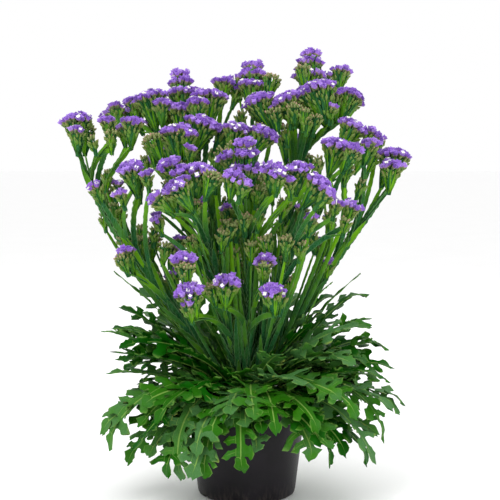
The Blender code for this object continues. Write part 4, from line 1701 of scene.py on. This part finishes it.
    def _fork_blades(self, brush: WingedStem, fork: float, beyond: Vector) -> None:
        """Adds narrow blades on the two sides of a fork, but only the outer one far from the middle.

        Args:
            brush: What draws the stem.
            fork: Where the fork is, as a share of the leader.
            beyond: A point on the branch, past the fork.
        """
        start = self.shoot.leader(fork)
        heading = self.shoot.heading(fork)
        outward = square_to(beyond - start, heading)
        for way in (1, -1):
            if way < 0 and abs(start.x) > 0.11:
                continue
            room = max(self.shoot.heads[0].root.z - start.z, 24 * MM)
            length = min(self.chance.uniform(28, 56) * MM, room * 0.8)
            half = self.chance.uniform(3.2, 5.2) * MM
            turned = Matrix.Rotation(self.chance.uniform(-1.0, 1.0), 3, heading) @ (outward * way)
            lift = (heading + turned * self.chance.uniform(0.05, 0.20)).normalized()
            side = square_to(turned, lift)
            tone = fork * 0.6 + self.chance.uniform(-0.1, 0.5)
            brush.blade(start + side * 1.5 * MM, lift, side, length, half, tone)


@dataclass
class Rosette:
    """The basal leaves: a slim winged rachis with finger-like rounded lobes and a broad end lobe.

    A lobe's form is its width at shares of its reach, and so is that of the end lobe.
    """

    thickness: float = 0.9 * MM
    row_gap: float = 5.8 * MM
    petiole_share: float = 0.24
    end_share: float = 0.895
    lobe_form: Form = ((0.15, 0.78), (0.42, 0.72), (0.68, 1.06), (0.90, 0.80), (1.0, 0.38))
    end_form: Form = ((0.15, 0.30), (0.40, 0.44), (0.66, 0.44), (0.88, 0.34), (1.0, 0.22))
    lobe_spans: tuple[int, ...] = (2, 3, 3)
    lobe_gaps: tuple[int, ...] = (1, 1, 1, 2)

    def build(self, name: str, leaves: Iterable[Leaf], seed: int) -> bpy.types.Object:
        """Builds a ring of leaves as one piece.

        Args:
            name: The piece's name.
            leaves: The leaves.
            seed: What their waves and tones are drawn from.

        Returns:
            One object with every blade and midrib.
        """
        chance = random.Random(seed)
        skin = Skin("across", "phase", "tone")
        ribs = Skin("across", "phase", "tone")
        for leaf in leaves:
            frames = self._frames(leaf, chance)
            self._blade(skin, leaf, frames, chance)
            self._midrib(ribs, leaf, frames, skin.values[-1][2])
        blades = add_object(name, skin.mesh(name, closed=False))
        wall = blades.modifiers.new("Blade", "SOLIDIFY")
        wall.thickness = self.thickness
        wall.offset = 0
        settle(blades)
        bm = bmesh.new()
        bm.from_mesh(blades.data)
        bm.from_mesh(ribs.mesh(name + "_ribs"))
        bm.to_mesh(blades.data)
        bm.free()
        return blades

    def _frames(self, leaf: Leaf, chance: random.Random) -> list[Row]:
        """Follows a leaf, with a twist, a bend and a sway of its own.

        Args:
            leaf: The leaf.
            chance: What these are drawn from.

        Returns:
            The place and the side, ahead and up directions of each row along it.
        """
        whole = self.end_share if leaf.is_lobed else 1.0
        rows = round(leaf.length * MM * whole / self.row_gap)
        shares = [index / rows * whole for index in range(rows + 1)]
        side = Vector((-leaf.outward.y, leaf.outward.x, 0))
        twist = chance.uniform(-0.55, 0.55)
        bend = chance.uniform(-0.11, 0.11) * leaf.length * MM
        sway = chance.uniform(0, 6)
        frames = []
        for share, (place, slope) in zip(shares, leaf.midrib(shares)):
            up = UP * math.cos(slope) - leaf.outward * math.sin(slope)
            ahead = UP * math.sin(slope) + leaf.outward * math.cos(slope)
            turn = twist * share * share + 0.16 * math.sin(share * 9 + sway) * share
            lean = Matrix.Rotation(turn, 3, ahead)
            centre = place + side * (bend * share * share + 2.4 * MM * math.sin(share * 8 + sway) * share)
            frames.append((centre, lean @ side, ahead, lean @ up))
        return frames

    def _blade(self, skin: Skin, leaf: Leaf, frames: list[Row], chance: random.Random) -> None:
        """Adds one open blade, which gets its thickness later.

        Args:
            skin: Where it is added.
            leaf: The leaf.
            frames: The leaf's rows.
            chance: What its tone and its lobes are drawn from.
        """
        tone = chance.random()
        last = len(frames) - 1
        grid = []
        for index, (centre, side, _ahead, up) in enumerate(frames):
            share = index / last
            half = (2.2 + 1.6 * share / self.petiole_share) * MM
            if not leaf.is_lobed:
                half = max(leaf.half_width * math.sin(math.pi * (0.14 + 0.84 * share)), 0.7) * MM
            elif share > self.petiole_share:
                half = (3.6 + leaf.half_width * 0.17 * math.sin(math.pi * (share * 0.85))) * MM
            row = []
            for across in (-1.0, -0.5, 0.0, 0.5, 1.0) if index == last else (-1.0, 0.0, 1.0):
                ripple = noise.noise((centre + side * across * 0.02) * 55) * 0.004 * abs(across)
                point = centre + side * half * across + up * (0.24 * half * abs(across) + ripple)
                row.append(skin.add(point, across * (0.45 if leaf.is_lobed else 1.0), 0.5, tone))
            grid.append(row)
        for low, high in zip(grid, grid[1:-1]):
            self._weave(skin, low, high, False)
        low, high = grid[-2:]
        skin.faces.append((low[0], high[0], high[1], high[2], low[1]))
        skin.faces.append((low[1], high[2], high[3], high[4], low[2]))
        if not leaf.is_lobed:
            return
        for way in (-1, 1):
            row = round(last * self.petiole_share) + chance.randint(0, 2)
            while row < last - 1:
                span = min(chance.choice(self.lobe_spans), last - row)
                edge = [grid[index][-1 if way > 0 else 0] for index in range(row, row + span + 1)]
                share = (row + span / 2) / last
                reach = leaf.half_width * (0.50 + 0.48 * math.sin(math.pi * 0.80 * share)) * MM
                reach *= chance.uniform(0.82, 1.2)
                self._lobe(skin, edge, frames[row + span // 2], way, reach, chance, tone)
                row += span + chance.choice(self.lobe_gaps)
        self._end_lobe(skin, grid[-1], frames[-1], leaf, chance, tone)

    def _lobe(
        self, skin: Skin, edge: list[int], frame: Row, way: int, reach: float, chance: random.Random,
        tone: float,
    ) -> None:
        """Adds a rounded lobe with a slimmer neck to a run of points on the edge of the rachis.

        Args:
            skin: Where it is added.
            edge: The points that it grows from.
            frame: The leaf's row beside it.
            way: The side that it is on, 1 or -1.
            reach: How far it reaches, in metres.
            chance: What its form is drawn from.
            tone: The leaf's tone.
        """
        _centre, side, ahead, up = frame
        first, last = skin.points[edge[0]], skin.points[edge[-1]]
        middle = (first + last) / 2
        half = (last - first).length / 2
        tilt = 0.25 + chance.uniform(-0.55, 0.45)
        out = (side * way * math.cos(tilt) + up * math.sin(tilt)).normalized()
        lift = (up * math.cos(tilt) - side * way * math.sin(tilt)).normalized()
        curl = chance.uniform(-0.42, 0.22)
        sweep = chance.uniform(0.12, 0.55)
        cup = chance.uniform(-0.35, 0.55)
        swell = chance.uniform(0.92, 1.18)
        before = edge
        for share, wide in self.lobe_form:
            row = []
            for index, corner in enumerate(edge):
                u = -1 + 2 * index / (len(edge) - 1)
                forward = sweep * reach * share * (0.4 + 0.6 * share)
                free = middle + ahead * (u * half * wide * swell + forward)
                free = free + out * reach * share * (1 - 0.26 * u * u * share)
                free = free + lift * (curl * reach * share * share + cup * half * u * u * share)
                held = skin.points[corner] - (middle + ahead * u * half)
                point = free + held * max(0.0, 1 - share * 3)
                row.append(skin.add(point, 0.45 + 0.55 * share, abs(u) * 0.5, tone))
            self._weave(skin, before, row, way > 0)
            before = row

    def _end_lobe(
        self, skin: Skin, edge: list[int], frame: Row, leaf: Leaf, chance: random.Random, tone: float
    ) -> None:
        """Adds the broad wavy lobe at a leaf's end.

        Args:
            skin: Where it is added.
            edge: The points of the last row.
            frame: The last row.
            leaf: The leaf.
            chance: What its form is drawn from.
            tone: The leaf's tone.
        """
        centre, side, ahead, up = frame
        reach = leaf.length * (1 - self.end_share) * MM * chance.uniform(0.85, 1.15)
        wave = chance.uniform(0, 6)
        curl = chance.uniform(-0.6, 0.1)
        cup = chance.uniform(0.1, 0.5)
        before = edge
        for share, wide in self.end_form:
            half = leaf.half_width * wide * MM * (1 + 0.24 * chance.uniform(-1, 1))
            row = []
            for u in (-1.0, -0.5, 0.0, 0.5, 1.0):
                run = reach * share * (1 - 0.20 * u * u * share)
                run *= 1 + 0.13 * share * math.sin(5 * u + wave)
                point = centre + side * u * half + ahead * run
                point = point + up * (curl * reach * share * share + cup * half * u * u * 0.6)
                row.append(skin.add(point, 0.12 * share + (1 - 0.12 * share) * abs(u), 0.5, tone))
            self._weave(skin, before, row, False)
            before = row

    @staticmethod
    def _weave(skin: Skin, low: list[int], high: list[int], flipped: bool) -> None:
        """Adds the faces between two rows of points."""
        for left, right, after, before in zip(low, low[1:], high[1:], high):
            skin.faces.append((left, right, after, before) if flipped else (left, before, after, right))

    @staticmethod
    def _midrib(ribs: Skin, leaf: Leaf, frames: list[Row], tone: float) -> None:
        """Adds the raised midrib as a slim tapering rod along the blade.

        Args:
            ribs: Where it is added.
            leaf: The leaf.
            frames: The leaf's rows.
            tone: The leaf's tone.
        """
        rings = []
        for index, (centre, side, _ahead, up) in enumerate(frames[::2]):
            share = index * 2 / len(frames)
            radius = (2.3 if leaf.is_lobed else 1.2) * (1 - 0.74 * share) * MM
            angles = [math.tau * corner / 5 for corner in range(5)]
            rings.append([
                centre + side * math.cos(angle) * radius + up * math.sin(angle) * radius * 0.8
                for angle in angles
            ])
        ribs.loft(rings, [(0.5, tone)] * len(rings))


@dataclass
class NurseryPot:
    """The thin plastic pot, with a rolled rim, a stepped collar and drainage notches in its foot."""

    height: float = 145.0
    rim_radius: float = 95.0
    collar_radius: float = 92.0
    collar_depth: float = 22.0
    body_radius: float = 88.2
    base_radius: float = 73.5
    chamfer: float = 4.5
    wall: float = 1.8
    floor: float = 2.4
    lip: float = 1.25
    notch_count: int = 5
    notch_turn: float = 212.0
    notch_size: tuple[float, float, float] = (18.0, 15.0, 10.0)
    notch_radius: float = 70.0
    notch_bevel: float = 2.2
    sides: int = 120

    def profile(self) -> list[tuple[float, float]]:
        """Draws the section of the pot.

        Returns:
            Its points, from the middle of the floor's top over the rim to the middle below.
        """
        step = self.height - self.collar_depth
        lip = []
        for index in range(9):
            angle = math.pi * index / 8
            centre = self.rim_radius - self.lip
            level = self.height - self.lip
            lip.append((centre - self.lip * math.cos(angle), level + self.lip * math.sin(angle)))
        return [
            (0, self.floor),
            (self.base_radius - self.chamfer - 1, self.floor),
            (self.base_radius - self.wall, self.chamfer + self.wall),
            (self.body_radius - self.wall, step - 0.4),
            (self.collar_radius - self.wall, step + 1.8),
            *lip,
            (self.rim_radius - 0.9, self.height - 4.2),
            (self.collar_radius + 0.25, step + 1.6),
            (self.collar_radius - 0.5, step + 0.5),
            (self.body_radius + 0.3, step - 0.6),
            (self.body_radius, step - 2.2),
            (self.base_radius + 0.6, self.chamfer + 3.0),
            (self.base_radius, self.chamfer + 0.6),
            (self.base_radius - 1.2, self.chamfer - 2.4),
            (self.base_radius - self.chamfer, 0.25),
            (self.base_radius - self.chamfer - 1.2, 0),
            (0, 0),
        ]

    def build(self) -> bpy.types.Object:
        """Turns the pot and cuts its notches.

        Returns:
            The pot as one closed shell.
        """
        pot = turned("nursery_pot", self.profile(), self.sides)
        cutters = bpy.data.collections.new("notches")
        for index in range(self.notch_count):
            bm = bmesh.new()
            sizes = Matrix.Diagonal((*[size * MM for size in self.notch_size], 1))
            place = Matrix.Translation((self.notch_radius * MM, 0, 0))
            bmesh.ops.create_cube(bm, size=1, matrix=place @ sizes)
            edges = [edge for edge in bm.edges if abs(edge.verts[0].co.x - edge.verts[1].co.x) > 10 * MM]
            bmesh.ops.bevel(
                bm, geom=edges, offset=self.notch_bevel * MM, segments=4, profile=0.5, affect="EDGES"
            )
            angle = math.radians(self.notch_turn + index * 360 / self.notch_count)
            bmesh.ops.rotate(bm, verts=bm.verts, matrix=Matrix.Rotation(angle, 3, "Z"))
            mesh = bpy.data.meshes.new("notch")
            bm.to_mesh(mesh)
            bm.free()
            cutters.objects.link(bpy.data.objects.new("notch", mesh))
        cut = pot.modifiers.new("Notches", "BOOLEAN")
        cut.operation = "DIFFERENCE"
        cut.operand_type = "COLLECTION"
        cut.collection = cutters
        settle(pot)
        for obj in list(cutters.objects):
            bpy.data.objects.remove(obj)
        bpy.data.collections.remove(cutters)
        return pot


@dataclass
class PeatFill:
    """The peat: a solid lump with a crumbly mound, and loose crumbs and fibres on it."""

    edge_radius: float = 85.4
    edge_height: float = 121.5
    mound_height: float = 131.0
    foot_radius: float = 71.6
    foot_height: float = 7.5
    mound_sides: int = 96
    mound_rings: int = 18
    crumb_count: int = 340

    def build(self) -> bpy.types.Object:
        """Turns the lump and pushes its top up and down by noise.

        Returns:
            The lump.
        """
        profile = [(0, self.mound_height)]
        for index in range(1, self.mound_rings + 1):
            fall = (self.mound_height - self.edge_height) * (index / self.mound_rings) ** 2
            profile.append((self.edge_radius * index / self.mound_rings, self.mound_height - fall))
        profile += [(self.foot_radius, self.foot_height), (self.foot_radius - 7, 2.9), (0, 2.9)]
        peat = turned("peat_mound", profile, self.mound_sides)
        for vert in peat.data.vertices:
            reach = math.hypot(vert.co.x, vert.co.y) / (self.edge_radius * MM)
            if vert.co.z > 0.118 and reach < 0.97:
                lift = noise.noise(vert.co * 90) * 2.4 + noise.noise(vert.co * 260) * 1.3
                vert.co.z += lift * MM * min(1.0, (1 - reach) * 12)
        return peat

    def crumbs(self) -> list[Floret]:
        """Lays out the loose crumbs.

        Returns:
            Where they lie, each with its facing, size and tone.
        """
        chance = random.Random(41)
        found = []
        for _ in range(self.crumb_count):
            reach = math.sqrt(chance.random()) * 0.965
            angle = chance.uniform(0, math.tau)
            height = self.mound_height - (self.mound_height - self.edge_height) * reach * reach
            height += chance.uniform(-1, 1.6)
            radius = self.edge_radius * reach
            place = Vector((radius * math.cos(angle), radius * math.sin(angle), height))
            facing = Vector([chance.gauss(0, 1) for _ in range(3)]).normalized()
            size = chance.uniform(0.5, 1.0) ** 2 * 2.4 + 0.3
            found.append(Floret(place * MM, facing, size, chance.random(), Opening.BUD))
        return found

    def crumb_form(self) -> bpy.types.Object:
        """Builds a small knobbly lump.

        Returns:
            One crumb, which the scatter copies.
        """
        bm = bmesh.new()
        bmesh.ops.create_icosphere(bm, subdivisions=1, radius=1 * MM)
        for vert in bm.verts:
            vert.co *= 0.75 + 0.6 * abs(noise.noise(vert.co * 1700))
            vert.co.z *= 1.5
        mesh = bpy.data.meshes.new("crumb_form")
        bm.to_mesh(mesh)
        bm.free()
        obj = add_object("crumb_form", mesh)
        obj.hide_render = True
        return obj


def turned(name: str, profile: list[tuple[float, float]], sides: int) -> bpy.types.Object:
    """Turns a closed shell round Z.

    Args:
        name: The piece's name.
        profile: Radii and heights in millimetres, over the top and down the outer side.
        sides: How many sides it has.

    Returns:
        The piece.
    """
    mesh = bpy.data.meshes.new(name)
    points = [(radius * MM, 0, height * MM) for radius, height in profile]
    mesh.from_pydata(points, [(index, index + 1) for index in range(len(points) - 1)], [])
    obj = add_object(name, mesh)
    screw = obj.modifiers.new("Turn", "SCREW")
    screw.steps = sides
    screw.render_steps = sides
    screw.use_merge_vertices = True
    screw.merge_threshold = 0.05 * MM
    settle(obj)
    face_outwards(obj.data)
    return obj


@dataclass
class Studio:
    """The pale floor, the soft light and the camera at the photo's angle."""

    floor_size: float = 120.0
    camera_place: tuple[float, float, float] = (0.0, -1.75, 0.50)
    camera_pitch: float = 4.3
    camera_aim: float = 0.0052
    lens: float = 84.2
    sensor_width: float = 36.0
    light_aim: float = 0.35

    def build(self) -> None:
        """Sets the whole stage."""
        self._floor()
        self._world()
        self._light("key_light", (-0.9, -1.5, 2.3), 1.2, 26)
        self._light("fill_light", (1.7, -1.2, 1.3), 1.6, 8)
        self._light("back_light", (0.5, 1.8, 2.0), 1.6, 16)
        self._camera()

    def _floor(self) -> None:
        """A plain pale floor."""
        half = self.floor_size / 2
        mesh = bpy.data.meshes.new("floor")
        corners = [(-half, -half, 0), (half, -half, 0), (half, half, 0), (-half, half, 0)]
        mesh.from_pydata(corners, [], [(0, 1, 2, 3)])
        floor = add_object("floor", mesh)
        shader = Shader("pale_floor")
        cloud = shader.noise(3, 2)
        colour = shader.mix(cloud, (0.96, 0.96, 0.96), (0.99, 0.99, 0.99))
        mesh.materials.append(shader.finish(base_color=colour, roughness=0.8))

    def _world(self) -> None:
        """An even white sky."""
        world = bpy.data.worlds.new("studio")
        world.use_nodes = True
        sky = world.node_tree.nodes["Background"].inputs
        sky["Color"].default_value = (1, 1, 1, 1)
        sky["Strength"].default_value = 1.0
        bpy.context.scene.world = world

    def _light(self, name: str, place: tuple[float, float, float], size: float, power: float) -> None:
        """Adds one soft area light, aimed at the plant.

        Args:
            name: Its name.
            place: Where it stands.
            size: Its side, in metres.
            power: Its power, in watts.
        """
        data = bpy.data.lights.new(name, "AREA")
        data.size = size
        data.energy = power
        light = bpy.data.objects.new(name, data)
        light.location = place
        aim = UP * self.light_aim - Vector(place)
        light.rotation_euler = aim.to_track_quat("-Z", "Y").to_euler()
        bpy.context.scene.collection.objects.link(light)

    def _camera(self) -> None:
        """The camera, at the photo's height, distance and pitch."""
        data = bpy.data.cameras.new("photo_camera")
        data.lens = self.lens
        data.sensor_width = self.sensor_width
        data.clip_end = 200
        camera = bpy.data.objects.new("photo_camera", data)
        camera.location = self.camera_place
        yaw = math.atan2(self.camera_aim, -self.camera_place[1])
        camera.rotation_euler = (math.radians(90 - self.camera_pitch), 0, -yaw)
        bpy.context.scene.collection.objects.link(camera)
        bpy.context.scene.camera = camera


def drawn_in(leaf: Leaf, low: tuple[float, float], high: tuple[float, float], ease: float) -> Leaf:
    """Shortens a leaf whose tip would stand too far out.

    Args:
        leaf: The leaf.
        low: The least x and y of its tip, in millimetres.
        high: The greatest.
        ease: How much it loses for each millimetre.

    Returns:
        The leaf with its new length.
    """
    tip = leaf.midrib([1.0])[0][0] / MM
    over = max(low[0] - tip.x, tip.x - high[0], low[1] - tip.y, tip.y - high[1], 0.0)
    return Leaf(leaf.azimuth, leaf.rise, leaf.fall, leaf.length - over * ease, leaf.half_width)


def inner_leaves() -> list[Leaf]:
    """Lays out the inner leaves, which fill the rosette between the stems' feet and the outer leaves.

    First comes a spiral all round, with steep short leaves among it but none of these in front. Then
    come sheaves to the right, to the left and, lower, in front. The last are flat leaves, two high
    ones on each side and four that hang.

    Returns:
        All of these leaves.
    """
    chance = random.Random(7)
    leaves = []
    for index in range(57):
        azimuth = index * 137.5 + chance.uniform(-8, 8)
        is_front = abs(azimuth % 360 - 270) < 55
        is_steep = index % 5 in (0, 2) and not is_front
        rise = chance.uniform(64, 80) if is_steep else chance.uniform(34, 52 if is_front else 66)
        fall = rise - (chance.uniform(20, 60) if is_steep else chance.uniform(50, 110))
        length = chance.uniform(130, 200) if is_steep else chance.uniform(140, 225)
        leaf = Leaf(azimuth, rise, fall, length, chance.uniform(22, 29))
        leaves.append(drawn_in(leaf, (-264, -166), (232, 214), 1.15))
    for low, high, slope, count in ((-38, 42, 46, 12), (148, 206, 56, 7), (222, 318, 14, 7)):
        for index in range(count):
            azimuth = low + (high - low) * (index + chance.random()) / count
            rise = slope + chance.uniform(-14, 14)
            fall = rise - chance.uniform(34, 78)
            leaf = Leaf(azimuth, rise, fall, chance.uniform(190, 232), chance.uniform(24, 30))
            leaves.append(drawn_in(leaf, (-262, -164), (238, math.inf), 1.1))

    def low_leaves(falls: tuple[float, float], *rows: tuple[float, float]) -> None:
        """Adds leaves that start nearly flat.

        Args:
            falls: The range of the slopes at their tips, in degrees.
            *rows: Their azimuths and lengths.
        """
        for azimuth, length in rows:
            slopes = chance.uniform(14, 26), chance.uniform(*falls)
            leaves.append(Leaf(azimuth, *slopes, length, chance.uniform(25, 30)))

    low_leaves((-44, -26), (196, 190), (207, 176), (219, 168), (232, 150), (336, 165), (344, 196))
    leaves += [Leaf(176, 52, 24, 224, 28), Leaf(168, 47, 8, 218, 28)]
    leaves += [Leaf(351, 24, -24, 222, 28), Leaf(6, 30, -14, 214, 28)]
    low_leaves((-66, -54), (202, 200), (214, 188), (322, 184), (336, 210))
    return leaves


def main() -> None:
    """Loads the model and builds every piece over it."""
    logging.basicConfig(level=logging.INFO, format="%(message)s")
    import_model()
    Studio().build()
    bpy.context.scene.view_settings.view_transform = "Standard"
    finishes = {
        "leaf": LeafFinish().build("statice_leaf"),
        "stem": StemFinish().build("statice_stem"),
        "calyx": CalyxFinish().build("violet_calyx"),
        "corolla": CorollaFinish().build("white_corolla"),
        "bud": BudFinish().build("green_bud"),
        "bract": BractFinish().build("brown_green_bract"),
        "pot": PotFinish().build("black_pot"),
        "peat": PeatFinish().build("damp_peat"),
    }
    hand_over(NurseryPot().build(), finishes["pot"], ["pot"])
    scatter = FloretScatter()
    peat = PeatFill()
    hand_over(peat.build(), finishes["peat"], ["soil"])
    crumb = peat.crumb_form()
    hand_over(scatter.scatter("peat_crumbs", peat.crumbs(), crumb), finishes["peat"])
    hand_over(Rosette().build("rosette_leaves", LEAVES, 3), finishes["leaf"], ["rosette"])
    hand_over(Rosette().build("inner_leaves", inner_leaves(), 5), finishes["leaf"])
    forms = {opening: form.build() for opening, form in FLORET_FORMS.items()}
    for name, shoot in SHOOTS.items():
        FlowerShoot(name, shoot).build(forms, scatter, finishes)
    for form in (crumb, *forms.values()):
        bpy.data.objects.remove(form)


if __name__ == "__main__":
    main()
